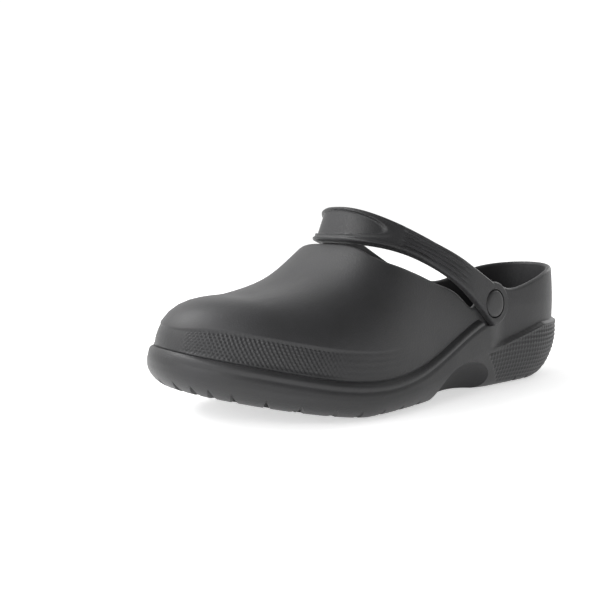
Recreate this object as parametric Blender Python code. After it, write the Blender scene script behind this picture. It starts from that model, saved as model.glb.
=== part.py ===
"""A chef clog for the left foot: a hollow foam moulding, its insole, a swinging heel strap and two rivets.

The tables and sizes are in millimetres. X runs from heel to toe, Y to the outer side of the left foot
and Z up from the floor. Every piece is worked out from the same outline, heights and upper surface.
"""

import math

import bmesh
import bpy
import numpy as np
from mathutils import Matrix, Vector

MM = 0.001
GAP = 0.3

# Main sizes of the moulding
LENGTH = 284.8
SIDE_SHIFT = 0.4
WALL = 5.0
RIM_WALL = 3.6
UPPER_INSET = 2.2
COLUMNS = 84
HALF = COLUMNS // 2

# Widest line of the sole seen from above, a row for each section
OUTLINE_ROWS = (
    # x, outer side, inner side
    (6.0, 19.3, -18.3),
    (24.0, 33.5, -31.3),
    (60.0, 39.3, -35.7),
    (100.0, 42.0, -36.6),
    (140.0, 48.2, -40.0),
    (178.0, 54.5, -48.0),
    (207.0, 54.2, -53.2),
    (232.0, 47.0, -54.3),
    (256.0, 33.6, -50.5),
    (275.5, 14.6, -38.0),
)
HEEL_TIP = (0.0, 0.0)
TOE_TIP = (284.8, -11.0)

# Height of the line where the upper meets the sole's edge, and of the cavity's floor under the insole
HEIGHT_ROWS = (
    # x, style line, floor
    (0.0, 50.0, 29.0),
    (45.0, 50.0, 27.0),
    (75.0, 50.0, 25.0),
    (100.0, 44.8, 21.5),
    (125.0, 34.7, 17.5),
    (150.0, 25.0, 15.0),
    (180.0, 20.2, 13.5),
    (215.0, 23.0, 15.5),
    (250.0, 30.5, 21.5),
    (268.0, 34.4, 25.6),
    (278.0, 36.6, 28.1),
    (284.8, 38.2, 30.0),
)

# Crest of the last's upper surface along its spine
ROOF_ROWS = (
    # x, height
    (0.0, 114.0),
    (60.0, 110.0),
    (110.0, 109.0),
    (140.0, 103.0),
    (160.0, 102.7),
    (175.0, 95.7),
    (182.0, 89.8),
    (188.0, 84.5),
    (196.0, 77.8),
    (206.0, 71.4),
    (215.0, 67.7),
    (238.0, 62.3),
)
ROOF_FOOT = 18.0
ROOF_SIDE_POWER = 3.55
ROOF_TOP_POWER = 3.01
SPINE_HEEL = (36.0, 0.0)
SPINE_TOE = (237.0, -4.0)

# Top of the collar and throat seen from the side
COLLAR_ROWS = (
    # x, height
    (2.0, 73.4),
    (30.0, 69.2),
    (60.0, 61.6),
    (78.0, 62.4),
    (90.0, 65.2),
    (98.0, 58.5),
    (106.0, 52.0),
    (120.0, 59.2),
    (138.0, 67.0),
    (152.0, 72.2),
    (164.0, 76.6),
    (173.0, 79.9),
    (179.0, 82.5),
    (182.0, 84.6),
    (183.3, 87.6),
    (184.0, 92.5),
)
THROAT_SEARCH = (150.0, 187.0)
FAN_START = 128.0

# Underside: heel curl, waist and toe spring
HEEL_CURL = 8.3
HEEL_FLAT = 42.0
HEEL_POWER = 1.5
WAIST_START = 80.0
WAIST_END = 150.0
WAIST_LIFT = 2.0
SPRING_START = 192.0
TOE_SPRING = 18.4
SPRING_POWER = 1.2

# Side of the sole: how far its lower corner turns in, and where it is widest
CORNER_INSET = 11.75
CORNER_POWER = 1.7
WIDEST = 0.55
SIDE_TOP_INSET = 0.6
BEAD_HEIGHT = 4.4
BEAD_RISE = 0.5
STEP_START = 76.0
STEP_END = 94.0

# Raised grip panel round the heel
PANEL_HEIGHT = 37.0
PANEL_BACK = 38.0
PANEL_FRONT = 90.0
PANEL_FRONT_HEIGHT = 25.5
PANEL_END = 98.0

# Scoops in both sides of the waist
SCOOP_CENTRE = 113.5
SCOOP_LENGTH = 29.5
SCOOP_HEIGHT = 20.5
SCOOP_DEPTH = 16.0

# Tread: notches round the edge and channels from side to side
NOTCH_PITCH = 13.0
FORE_NOTCH_WAYS = (0.0, 14.0, 25.0, 35.0, 47.0, 64.5, 82.5, 101.5, 117.0, 132.5, 147.5, 163.0)
NOTCH_WIDTH = 7.0
NOTCH_RISE = 6.0
NOTCH_INNER_RISE = 2.6
NOTCH_REACH = 14.0
FORE_NOTCHES = len(FORE_NOTCH_WAYS)
HEEL_NOTCHES = 7
CHANNEL_END = 246.0
CHANNEL_SHORTEST = 60.0
CHANNEL_WIDTH = 3.6
CHANNEL_DEPTH = 3.0

# Rivets and the strap's round ends
PIVOT_X = 92.4
PIVOT_Z = 52.9
SEAT_DEPTH = 0.4
SEAT_RADIUS = 13.5
STRAP_END_RADIUS = 13.0
PIN_RADIUS = 3.0
BUTTON_RADIUS = 8.0
BUTTON_WELL_RADIUS = 8.7
BUTTON_WELL_DEPTH = 2.0
BUTTON_RISE = 0.7
FLANGE_RADIUS = 5.5
FLANGE_GAP = 0.9

# Rounded edges of the button and of the flange: inset from the radius, and depth below the face
BUTTON_EDGE = ((2.2, 0.1), (0.6, 0.6), (0.0, 1.3))
FLANGE_EDGE = ((0.0, 0.0), (0.0, 1.0), (0.8, 1.6))

# Heel strap, swung forward over the instep: each edge's reach from the rivets, its half widths, how square
# its arc is, its height at the rivets, and how that height grows with the reach's share and its square
STRAP_THICKNESS = 4.8
STRAP_FACE = STRAP_THICKNESS + GAP - SEAT_DEPTH
STRAP_UPPER = {
    "reach": 84.9,
    "outer": 44.3,
    "inner": 37.6,
    "power": 2.54,
    "foot": 65.9,
    "rise": 46.0,
    "bow": -1.9,
}
STRAP_LOWER = {
    "reach": 90.3,
    "outer": 42.9,
    "inner": 36.2,
    "power": 3.04,
    "foot": 39.9,
    "rise": 90.4,
    "bow": -39.8,
}
STRAP_MIDDLE = -1.0
STRAP_FLAT_END = 0.2
STRAP_FREE = 0.55
STRAP_STATIONS = 34
STRAP_END_STATIONS = 6
STRAP_END_TURN = math.radians(84)

# Footbed: thickness, how far its edge stays inside the floor's corner, and how far its middle spreads
INSOLE_THICKNESS = 4.0
INSOLE_EDGE = 0.6
INSOLE_SPREAD = 1.3
FLOOR_CORNER = 2.0

# How finely the moulding is divided: rings as shares of a stretch, and counts of rings
SIDE_SHARES = (0.0, 0.05, 0.15, 0.32, 0.58, 1.0)
PANEL_EDGE = ((0.25, -0.3), (0.45, 0.4))
BEAD_SHARES = (1.0, 0.72, 0.28)
UPPER_RINGS = 10
LINING_RINGS = 8
SPAN_STEPS = 24
FACE_STEPS = 200
FOOT_STEPS = 8
COLLAR_STEPS = 800
RIM_ANGLES = (45, 90, 135)

# How many sides the round cuts and the turned rivets have
SEAT_SIDES = 48
WELL_SIDES = 40
BUTTON_SIDES = 32
HOLE_SIDES = 24
SCOOP_SIDES = 28

# How far the cutters reach past what they cut
WEDGE_SINK = 1.0
NOTCH_OVERHANG = 3.0
PIVOT_CLEAR = 14.0

# The strap's section: share of its width from the lower edge, and depth as a share of its thickness
STRAP_SECTION = (
    (0.0, 0.7),
    (0.0, 0.3),
    (0.07, 0.0),
    (0.5, 0.0),
    (0.93, 0.0),
    (1.0, 0.3),
    (1.0, 0.7),
    (0.93, 1.0),
    (0.5, 1.0),
    (0.07, 1.0),
)

SHARP_ANGLE = math.radians(40)

# Colour (linear), roughness and metallic value of each material
FOAM = ("moulded_foam", (0.030, 0.031, 0.032), 0.62)
STRAP_FOAM = ("strap_foam", (0.034, 0.035, 0.036), 0.58)
RIVET_NYLON = ("rivet_nylon", (0.036, 0.037, 0.038), 0.45)
INSOLE_FOAM = ("insole_foam", (0.022, 0.022, 0.023), 0.85)


def smooth(value, start, end):
    """Goes from 0 at start to 1 at end with level ends."""
    t = np.clip((np.asarray(value, float) - start) / (end - start), 0.0, 1.0)
    return t * t * (3.0 - 2.0 * t)


def unit(vectors):
    return vectors / np.linalg.norm(vectors, axis=-1, keepdims=True)


def through(rows, x, column=1):
    """Reads a table's column at x along a smooth curve through its rows, level past both ends."""
    xs = np.array([row[0] for row in rows])
    ys = np.array([row[column] for row in rows])
    count = len(xs)
    gaps = np.diff(xs)
    matrix = np.eye(count)
    right = np.zeros(count)
    for i in range(1, count - 1):
        matrix[i, i - 1 : i + 2] = gaps[i - 1] / 6, (gaps[i - 1] + gaps[i]) / 3, gaps[i] / 6
        right[i] = (ys[i + 1] - ys[i]) / gaps[i] - (ys[i] - ys[i - 1]) / gaps[i - 1]
    bend = np.linalg.solve(matrix, right)
    x = np.clip(x, xs[0], xs[-1])
    k = np.clip(np.searchsorted(xs, x, side="right") - 1, 0, count - 2)
    a = (xs[k + 1] - x) / gaps[k]
    b = 1.0 - a
    pull = ((a**3 - a) * bend[k] + (b**3 - b) * bend[k + 1]) * gaps[k] ** 2 / 6
    return a * ys[k] + b * ys[k + 1] + pull


def closed_curve(points, per_span):
    """A smooth closed curve through points, with per_span samples from each point to the next."""
    points = np.array(points, float)
    count = len(points)
    spans = np.linalg.norm(np.roll(points, -1, 0) - points, axis=1)
    matrix = np.zeros((count, count))
    right = np.zeros_like(points)
    for i in range(count):
        before = spans[i - 1]
        after = spans[i]
        matrix[i, i - 1] += before / 6
        matrix[i, i] += (before + after) / 3
        matrix[i, (i + 1) % count] += after / 6
        ahead = points[(i + 1) % count] - points[i]
        right[i] = ahead / after - (points[i] - points[i - 1]) / before
    bend = np.linalg.solve(matrix, right)
    curve = []
    for i in range(count):
        j = (i + 1) % count
        b = np.arange(per_span)[:, None] / per_span
        a = 1.0 - b
        pull = ((a**3 - a) * bend[i] + (b**3 - b) * bend[j]) * spans[i] ** 2 / 6
        curve.append(a * points[i] + b * points[j] + pull)
    return np.concatenate(curve)


def lengths(points):
    """Distance along a line of points, from its start to each point."""
    steps = np.linalg.norm(np.diff(points, axis=0), axis=1)
    return np.concatenate([[0.0], np.cumsum(steps)])


def resample(points, places, measured=3):
    """Points of a line at the given shares of its length, which its first columns measure."""
    run = lengths(points[:, :measured])
    at = np.asarray(places) * run[-1]
    return np.stack([np.interp(at, run, points[:, k]) for k in range(points.shape[1])], -1)


def outward(loop):
    """Unit normals of a closed plan curve that runs from the heel along the outer side."""
    along = np.roll(loop, -1, 0) - np.roll(loop, 1, 0)
    return unit(np.stack([-along[:, 1], along[:, 0]], -1))


def outline():
    """The sole's widest line, fine, and for each column its point, its normal and the upper's edge.

    The columns start at the heel's tip, run along the outer side and reach the toe's tip at HALF.
    """
    outer = [(x, y) for x, y, _ in OUTLINE_ROWS]
    inner = [(x, y) for x, _, y in reversed(OUTLINE_ROWS)]
    curve = closed_curve([HEEL_TIP, *outer, TOE_TIP, *inner], SPAN_STEPS)
    toe = (len(outer) + 1) * SPAN_STEPS
    shares = np.arange(HALF) / HALF
    normals = outward(curve)
    both = np.hstack([curve, normals, curve - normals * UPPER_INSET])
    first = resample(both[: toe + 1], shares, 2)
    second = resample(np.vstack([both[toe:], both[:1]]), shares, 2)
    both = np.vstack([first, second])
    return curve, both[:, 0:2], unit(both[:, 2:4]), both[:, 4:6]


def underside(x):
    """Height of the tread: curled up behind the heel, lifted at the waist, sprung at the toe."""
    heel = HEEL_CURL * np.clip((HEEL_FLAT - x) / HEEL_FLAT, 0, 1) ** HEEL_POWER
    across = np.clip((x - WAIST_START) / (WAIST_END - WAIST_START), 0, 1)
    waist = WAIST_LIFT * np.sin(np.pi * across) ** 2
    toe = TOE_SPRING * np.clip((x - SPRING_START) / (LENGTH - SPRING_START), 0, 1) ** SPRING_POWER
    return heel + waist + toe


class Upper:
    """The upper's outer surface: ribs that spring from the inset outline to a crest over the spine."""

    def __init__(self, curve):
        self.edge = curve - outward(curve) * UPPER_INSET
        heel = np.array(SPINE_HEEL)
        toe = np.array(SPINE_TOE)
        self.ends = heel, toe
        count = len(self.edge)
        tip = int(np.argmax(self.edge[:, 0]))
        self.sides = self.edge[: tip + 1], self.edge[np.arange(tip, count + 1) % count][::-1]
        self.fans = []
        for centre in self.ends:
            offset = self.edge - centre
            angle = np.arctan2(offset[:, 1], offset[:, 0])
            order = np.argsort(angle)
            radius = np.linalg.norm(offset, axis=1)
            self.fans.append((angle[order], radius[order]))

    def spine(self, x):
        heel, toe = self.ends
        share = np.clip((x - heel[0]) / (toe[0] - heel[0]), 0, 1)
        return heel + share[..., None] * (toe - heel)

    def reach(self, x, y):
        """How far (x, y) lies from the spine towards the edge: 0 on the spine, 1 at the edge."""
        x = np.asarray(x, float)
        y = np.asarray(y, float)
        base = self.spine(x)
        outer, inner = self.sides
        limit = np.where(
            y >= base[..., 1],
            np.interp(x, outer[:, 0], outer[:, 1]) - base[..., 1],
            base[..., 1] - np.interp(x, inner[:, 0], inner[:, 1]),
        )
        share = np.abs(y - base[..., 1]) / limit
        for centre, (angles, radii), beyond in zip(
            self.ends, self.fans, (x < self.ends[0][0], x > self.ends[1][0])
        ):
            angle = np.arctan2(y - centre[1], x - centre[0])
            radius = np.interp(angle, angles, radii, period=2 * math.pi)
            share = np.where(beyond, np.hypot(x - centre[0], y - centre[1]) / radius, share)
        return share

    def crest(self, x):
        return through(ROOF_ROWS, self.spine(x)[..., 0])

    def height(self, x, y):
        share = np.clip(self.reach(x, y), 0, 1)
        rise = (1 - share**ROOF_SIDE_POWER) ** (1 / ROOF_TOP_POWER)
        return ROOF_FOOT + (self.crest(x) - ROOF_FOOT) * rise

    def reach_at(self, x, z):
        """The share of the way from spine to edge at which the surface has height z."""
        rise = np.clip((z - ROOF_FOOT) / (self.crest(x) - ROOF_FOOT), 0, 1)
        return (1 - rise**ROOF_TOP_POWER) ** (1 / ROOF_SIDE_POWER)

    def collar(self, side):
        """Half of the collar's edge in plan, from the heel's middle to the throat's middle."""
        line = self.sides[side]
        top = through(COLLAR_ROWS, line[:, 0]) - RIM_WALL / 2
        inside = top < self.crest(line[:, 0])
        share = self.reach_at(line[:, 0], top)
        points = self.spine(line[:, 0])
        points = points + (line - points) * share[:, None]
        points = points[inside & (line[:, 0] < self.throat())]
        fine = np.linspace(points[-1, 0], self.throat(), COLLAR_STEPS)[1:]
        base = self.spine(fine)
        limit = np.interp(fine, line[:, 0], line[:, 1])
        share = self.reach_at(fine, through(COLLAR_ROWS, fine) - RIM_WALL / 2)
        front = np.stack([fine, base[:, 1] + (limit - base[:, 1]) * share], -1)
        return np.vstack([points, front])

    def throat(self):
        """Where the collar's curve meets the crest, in front of the instep."""
        xs = np.linspace(*THROAT_SEARCH, COLLAR_STEPS)
        over = through(COLLAR_ROWS, xs) - RIM_WALL / 2 - self.crest(xs)
        return float(xs[np.argmax(over > 0)])


def collar_points(upper, edge):
    """A collar point for each column: straight across behind FAN_START, fanned round the toe before it."""
    result = np.zeros_like(edge)
    for side in (0, 1):
        index = np.arange(HALF + 1) * (1 - 2 * side) % COLUMNS
        line = edge[index]
        run = lengths(line)
        collar = upper.collar(side)
        collar_run = lengths(collar)
        split = run[np.argmax(line[:, 0] > FAN_START)]
        collar_split = collar_run[np.argmax(collar[:, 0] > line[run == split, 0])]
        spine = upper.spine(line[:, 0])
        top = through(COLLAR_ROWS, line[:, 0]) - RIM_WALL / 2
        straight = spine + (line - spine) * upper.reach_at(line[:, 0], top)[:, None]
        share = np.clip((run - split) / (run[-1] - split), 0, 1)
        at = collar_split + share * (collar_run[-1] - collar_split)
        fanned = np.stack([np.interp(at, collar_run, collar[:, k]) for k in (0, 1)], -1)
        result[index] = np.where((run < split)[:, None], straight, fanned)
    return result


def upper_faces(upper, edge):
    """Fine lines down the upper's outer face, one for each column, with the inner face and the normals."""
    start = collar_points(upper, edge)
    share = 1 - (1 - np.linspace(0, 1, FACE_STEPS)) ** 3
    plan = start[:, None] + (edge - start)[:, None] * share[None, :, None]
    reach = upper.reach(plan[..., 0], plan[..., 1])
    reach = np.clip(reach / reach[:, -1:], 0, 1)
    rise = (1 - reach**ROOF_SIDE_POWER) ** (1 / ROOF_TOP_POWER)
    z = ROOF_FOOT + (upper.crest(plan[..., 0]) - ROOF_FOOT) * rise
    face = np.dstack([plan, z])
    foot = np.repeat(face[:, -1:], FOOT_STEPS, 1)
    foot[..., 2] -= np.arange(1, FOOT_STEPS + 1)
    face = np.concatenate([face, foot], 1)
    down = np.gradient(face, axis=1)
    across = np.roll(face, -1, 0) - np.roll(face, 1, 0)
    normal = unit(np.cross(across, down))
    run = np.array([lengths(line) for line in face])
    wall = RIM_WALL + (WALL - RIM_WALL) * smooth(run, 0.0, 3.0 * WALL)
    return face, face - normal * wall[..., None], normal


def down_to(line, level):
    """The part of a falling line above a level, which is a function of x, ending on that level."""
    over = line[:, 2] - level(line[:, 0])
    k = int(np.argmax(over <= 0))
    share = over[k - 1] / (over[k - 1] - over[k])
    return np.vstack([line[:k], line[k - 1] + (line[k] - line[k - 1]) * share])


def style_line(x):
    return through(HEIGHT_ROWS, x, 1)


def floor(x):
    return through(HEIGHT_ROWS, x, 2)


def side_rows(line, normal, groove):
    """Rings up the side of the sole: rounded corner, widest line, heel panel, bead and groove."""
    x = line[:, 0]
    corner = line - normal * CORNER_INSET
    low = underside(corner[:, 0])
    top = style_line(x)
    widest = low + (top - low) * WIDEST
    ledge = np.einsum("ij,ij->i", line - groove[:, :2], normal)
    step = smooth(x, STEP_START, STEP_END)
    slope = np.clip((x - PANEL_BACK) / (PANEL_FRONT - PANEL_BACK), 0, 1)
    panel_top = PANEL_HEIGHT + (PANEL_FRONT_HEIGHT - PANEL_HEIGHT) * slope
    on_heel = 1 - smooth(x, PANEL_FRONT, PANEL_END)
    heights = [low + (widest - low) * share for share in SIDE_SHARES]
    for share, drop in PANEL_EDGE:
        elsewhere = widest + (top - widest) * share
        heights.append(on_heel * (panel_top + drop) + (1 - on_heel) * elsewhere)
    heights += [top - BEAD_HEIGHT * share for share in BEAD_SHARES]
    rings = []
    for k, z in enumerate(heights):
        turn = np.clip((widest - z) / (widest - low), 0, 1)
        below = CORNER_INSET * (1 - (1 - turn**CORNER_POWER) ** (1 / CORNER_POWER))
        lean = SIDE_TOP_INSET * np.clip((z - widest) / (top - widest), 0, 1) ** 2
        heel = np.where(z > panel_top, ledge, 0.0) * on_heel
        heel = heel + ledge * smooth(z, widest, top) * (1 - on_heel)
        front = lean + (BEAD_RISE if k == len(SIDE_SHARES) + len(PANEL_EDGE) else 0.0)
        inset = below + step * front + (1 - step) * np.where(z > widest, heel, 0.0)
        rings.append(np.column_stack([line - normal * inset[:, None], z]))
    rings[0][:, 2] = low
    return rings


def midline(ring, level):
    """The ring drawn together: each point goes midway between it and its partner on the other side."""
    partner = (-np.arange(COLUMNS)) % COLUMNS
    middle = (ring + ring[partner]) / 2
    middle[:, 2] = level(middle[:, 0])
    return middle


def body_rings(upper, line, normal, edge):
    """Every ring of the moulding, from the tread's middle up and over the collar to the floor's middle."""
    face, lining, face_normal = upper_faces(upper, edge)
    outer = [down_to(face[j], style_line) for j in range(COLUMNS)]
    groove = np.array([path[-1] for path in outer])
    sole = side_rows(line, normal, groove)
    shares = np.linspace(1, 0, UPPER_RINGS)
    upper_rings = np.array([resample(path, shares) for path in outer]).transpose(1, 0, 2)
    rim_line = np.roll(face[:, 0], -1, 0) - np.roll(face[:, 0], 1, 0)
    up = unit(np.cross(face_normal[:, 0], rim_line))
    up = up * np.sign(up[:, 2:])
    middle = (face[:, 0] + lining[:, 0]) / 2
    rim = []
    for angle in np.radians(RIM_ANGLES):
        swing = face_normal[:, 0] * math.cos(angle) + up * math.sin(angle)
        rim.append(middle + swing * RIM_WALL / 2)
    inner = [down_to(lining[j], lambda x: floor(x) + FLOOR_CORNER) for j in range(COLUMNS)]
    shares = np.linspace(0, 1, LINING_RINGS)
    lining_rings = np.array([resample(path, shares) for path in inner]).transpose(1, 0, 2)
    foot = lining_rings[-1].copy()
    foot[:, :2] -= normal * FLOOR_CORNER
    foot[:, 2] = floor(foot[:, 0])
    outside = [midline(sole[0], underside), *sole, *upper_rings]
    return [*outside, *rim, *lining_rings, foot, midline(foot, floor)], foot


def place(points):
    """From the tables' millimetres to metres, with the shoe centred over the origin."""
    moved = np.array(points, float)
    moved[..., 0] -= LENGTH / 2
    moved[..., 1] -= SIDE_SHIFT
    return moved * MM


def add_object(name, bm, finish=None):
    """Makes a named object of a bmesh, smooth but for its edges, with its material; None makes a cutter."""
    mesh = bpy.data.meshes.new(name)
    bm.to_mesh(mesh)
    bm.free()
    thing = bpy.data.objects.new(name, mesh)
    bpy.context.scene.collection.objects.link(thing)
    if finish is None:
        thing.display_type = "WIRE"
        thing.hide_render = True
        return thing
    mesh.shade_smooth()
    mesh.set_sharp_from_angle(angle=SHARP_ANGLE)
    mesh.materials.append(material(*finish))
    return thing


def material(name, colour, roughness):
    """A plain dielectric of one colour."""
    found = bpy.data.materials.get(name)
    if found:
        return found
    made = bpy.data.materials.new(name)
    made.use_nodes = True
    shader = made.node_tree.nodes["Principled BSDF"]
    shader.inputs["Base Color"].default_value = (*colour, 1.0)
    shader.inputs["Roughness"].default_value = roughness
    shader.inputs["Metallic"].default_value = 0.0
    return made


def ring_mesh(rings):
    """A grid bent through the rings, welded at its seam and at drawn-together ends, its open ends filled."""
    rings = place(rings)
    columns = rings.shape[1]
    bm = bmesh.new()
    bmesh.ops.create_grid(bm, x_segments=columns, y_segments=len(rings) - 1, size=1.0)
    for vertex in bm.verts:
        column = round((vertex.co.x + 1) / 2 * columns) % columns
        row = round((vertex.co.y + 1) / 2 * (len(rings) - 1))
        vertex.co = rings[row][column]
    bmesh.ops.remove_doubles(bm, verts=bm.verts, dist=1e-6)
    open_edges = [edge for edge in bm.edges if edge.is_boundary]
    if open_edges:
        bmesh.ops.holes_fill(bm, edges=open_edges, sides=0)
    bmesh.ops.recalc_face_normals(bm, faces=bm.faces)
    return bm


def wedge(bm, start, end, width, rises):
    """A three-sided bar under the sole from start to end, with its sharp top edge at the given rises."""
    start = np.array(start)
    end = np.array(end)
    along = unit(end - start)
    side = np.array([-along[1], along[0]])
    corners = []
    for point, rise in zip((start, end), rises):
        level = float(underside(point[0]))
        wide = width / 2 * (rise + WEDGE_SINK) / rises[0]
        left = (*(point + side * wide), level - WEDGE_SINK)
        right = (*(point - side * wide), level - WEDGE_SINK)
        corners.append((left, right, (*point, level + rise)))
    face = bm.faces.new([bm.verts.new(place(corner)) for corner in corners[0]])
    grown = bmesh.ops.extrude_face_region(bm, geom=[face])["geom"]
    fresh = [item for item in grown if isinstance(item, bmesh.types.BMVert)]
    for vertex in fresh:
        nearest = min(range(3), key=lambda k: (vertex.co - Vector(place(corners[0][k]))).length)
        vertex.co = place(corners[1][nearest])


def tread_cutters(curve):
    """Notches round the edge of the tread, and straight channels between the ones across from each other."""
    normals = outward(curve)
    tip = int(np.argmax(curve[:, 0]))
    halves = (np.arange(tip + 1), np.arange(tip, len(curve) + 1) % len(curve))
    notches = bmesh.new()
    channels = bmesh.new()
    stations = []
    for side, half in enumerate((halves[0], halves[1][::-1])):
        run = lengths(curve[half])
        fore = run[-1] - np.array(FORE_NOTCH_WAYS)
        heel = NOTCH_PITCH * np.arange(HEEL_NOTCHES)
        at = np.concatenate([fore, heel])
        spots = np.stack([np.interp(at, run, curve[half][:, k]) for k in (0, 1)], -1)
        facing = unit(np.stack([np.interp(at, run, normals[half][:, k]) for k in (0, 1)], -1))
        stations.append(spots)
        for k, (spot, out) in enumerate(zip(spots, facing)):
            shared_tip = k in (0, FORE_NOTCHES)
            if side == 0 or not shared_tip:
                ends = spot + out * NOTCH_OVERHANG, spot - out * NOTCH_REACH
                wedge(notches, *ends, NOTCH_WIDTH, (NOTCH_RISE, NOTCH_INNER_RISE))
    for outer, inner in zip(*stations):
        if outer[0] < CHANNEL_END and abs(outer[1] - inner[1]) > CHANNEL_SHORTEST:
            wedge(channels, outer, inner, CHANNEL_WIDTH, (CHANNEL_DEPTH, CHANNEL_DEPTH))
    for bm in (notches, channels):
        bmesh.ops.recalc_face_normals(bm, faces=bm.faces)
    return add_object("notch_cutter", notches), add_object("channel_cutter", channels)


def scoop_cutter(upper):
    """Two half-sunk egg shapes that hollow the sides of the waist."""
    bm = bmesh.new()
    for side in upper.sides:
        at = float(np.interp(SCOOP_CENTRE, side[:, 0], side[:, 1]))
        at += math.copysign(UPPER_INSET, at)
        made = bmesh.ops.create_uvsphere(
            bm, u_segments=SCOOP_SIDES, v_segments=SCOOP_SIDES // 2, radius=1.0
        )["verts"]
        size = Vector((SCOOP_LENGTH, SCOOP_DEPTH, SCOOP_HEIGHT)) * MM
        bmesh.ops.scale(bm, vec=size, verts=made)
        bmesh.ops.translate(bm, vec=place((SCOOP_CENTRE, at, 0.0)), verts=made)
    return add_object("scoop_cutter", bm)


class Pivot:
    """Where a rivet goes through the wall: the point on the wall's outer face and the way out."""

    def __init__(self, upper, side):
        self.name = ("outer", "inner")[side]
        self.sign = 1 - 2 * side

        def wall(x, z):
            line = upper.sides[side]
            base = upper.spine(x)[1]
            limit = np.interp(x, line[:, 0], line[:, 1])
            return float(base + (limit - base) * upper.reach_at(x, z))

        y = wall(PIVOT_X, PIVOT_Z)
        along = wall(PIVOT_X + 1, PIVOT_Z) - wall(PIVOT_X - 1, PIVOT_Z)
        upward = wall(PIVOT_X, PIVOT_Z + 1) - wall(PIVOT_X, PIVOT_Z - 1)
        self.point = np.array([PIVOT_X, y, PIVOT_Z])
        self.out = unit(np.array([-along / 2, 1.0, -upward / 2])) * self.sign
        self.ahead = unit(np.cross(self.out, (0, 0, 1))) * self.sign
        self.upward = np.cross(self.ahead, self.out) * self.sign

    def at(self, out, ahead=0.0, upward=0.0):
        return self.point + self.out * out + self.ahead * ahead + self.upward * upward

    def drum(self, bm, radius, start, end, segments):
        """A cylinder on the pivot's axis from one distance along it to another."""
        turn = Vector(self.out).to_track_quat("Z", "Y").to_matrix().to_4x4()
        middle = Vector(place(self.at((start + end) / 2)))
        bmesh.ops.create_cone(
            bm,
            cap_ends=True,
            segments=segments,
            radius1=radius * MM,
            radius2=radius * MM,
            depth=(end - start) * MM,
            matrix=Matrix.Translation(middle) @ turn,
        )


def cut(thing, cutter):
    modifier = thing.modifiers.new(cutter.name, "BOOLEAN")
    modifier.operation = "DIFFERENCE"
    modifier.solver = "EXACT"
    modifier.object = cutter


def build_body(upper, curve, rings, pivots):
    body = add_object("clog_body", ring_mesh(rings), FOAM)
    seats = bmesh.new()
    holes = bmesh.new()
    for pivot in pivots:
        pivot.drum(seats, SEAT_RADIUS, -SEAT_DEPTH, PIVOT_CLEAR, SEAT_SIDES)
        pivot.drum(holes, PIN_RADIUS + GAP, -PIVOT_CLEAR, PIVOT_CLEAR, HOLE_SIDES)
    cutters = [*tread_cutters(curve), scoop_cutter(upper), add_object("seat_cutter", seats)]
    cutters.append(add_object("rivet_hole_cutter", holes))
    for cutter in cutters:
        cut(body, cutter)
    return body


def strap_edge(sizes, angle):
    """A point of one of the strap's edges: a squared arc in plan that climbs towards the instep."""
    forward = abs(math.cos(angle)) ** (2 / sizes["power"])
    across = math.copysign(abs(math.sin(angle)) ** (2 / sizes["power"]), angle)
    width = sizes["outer"] if angle > 0 else sizes["inner"]
    return np.array(
        [
            PIVOT_X + sizes["reach"] * forward,
            STRAP_MIDDLE + width * across,
            sizes["foot"] + sizes["rise"] * forward + sizes["bow"] * forward**2,
        ]
    )


def strap_frames(pivots):
    """Lower edge, upper edge and outward direction of each section, from one round end to the other."""
    sections = []
    for angle in np.linspace(math.pi / 2, -math.pi / 2, STRAP_STATIONS):
        pivot = pivots[0] if angle > 0 else pivots[1]
        pair = []
        for sizes in (STRAP_LOWER, STRAP_UPPER):
            point = strap_edge(sizes, angle)
            forward = (point[0] - PIVOT_X) / sizes["reach"]
            flat = 1 - smooth(forward, STRAP_FLAT_END, STRAP_FREE)
            off = np.dot(point - pivot.point, pivot.out) - STRAP_FACE
            pair.append(point - pivot.out * off * flat)
        sections.append(pair)
    sections = np.array(sections)
    ends = []
    for pivot in pivots:
        fan = []
        for k in range(1, STRAP_END_STATIONS + 1):
            angle = STRAP_END_TURN * k / STRAP_END_STATIONS
            half = STRAP_END_RADIUS * math.cos(angle)
            back = -STRAP_END_RADIUS * math.sin(angle)
            fan.append([pivot.at(STRAP_FACE, back, -half), pivot.at(STRAP_FACE, back, half)])
        ends.append(np.array(fan))
    sections = np.concatenate([ends[0][::-1], sections, ends[1]])
    middle = sections.mean(axis=1)
    along = np.gradient(middle, axis=0)
    out = unit(np.cross(sections[:, 1] - sections[:, 0], along))
    return sections[:, 0], sections[:, 1], out


def build_strap(pivots):
    lower, upper_edge, out = strap_frames(pivots)
    rings = []
    for low, high, away in zip(lower, upper_edge, out):
        width = high - low
        rings.append([low + width * share - away * STRAP_THICKNESS * sunk for share, sunk in STRAP_SECTION])
    strap = add_object("heel_strap", ring_mesh(rings), STRAP_FOAM)
    holes = bmesh.new()
    wells = bmesh.new()
    for pivot in pivots:
        pivot.drum(holes, PIN_RADIUS + GAP, -PIVOT_CLEAR, PIVOT_CLEAR, HOLE_SIDES)
        pivot.drum(wells, BUTTON_WELL_RADIUS, STRAP_FACE - BUTTON_WELL_DEPTH, PIVOT_CLEAR, WELL_SIDES)
    cut(strap, add_object("button_well_cutter", wells))
    cut(strap, add_object("strap_hole_cutter", holes))
    return strap


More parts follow.
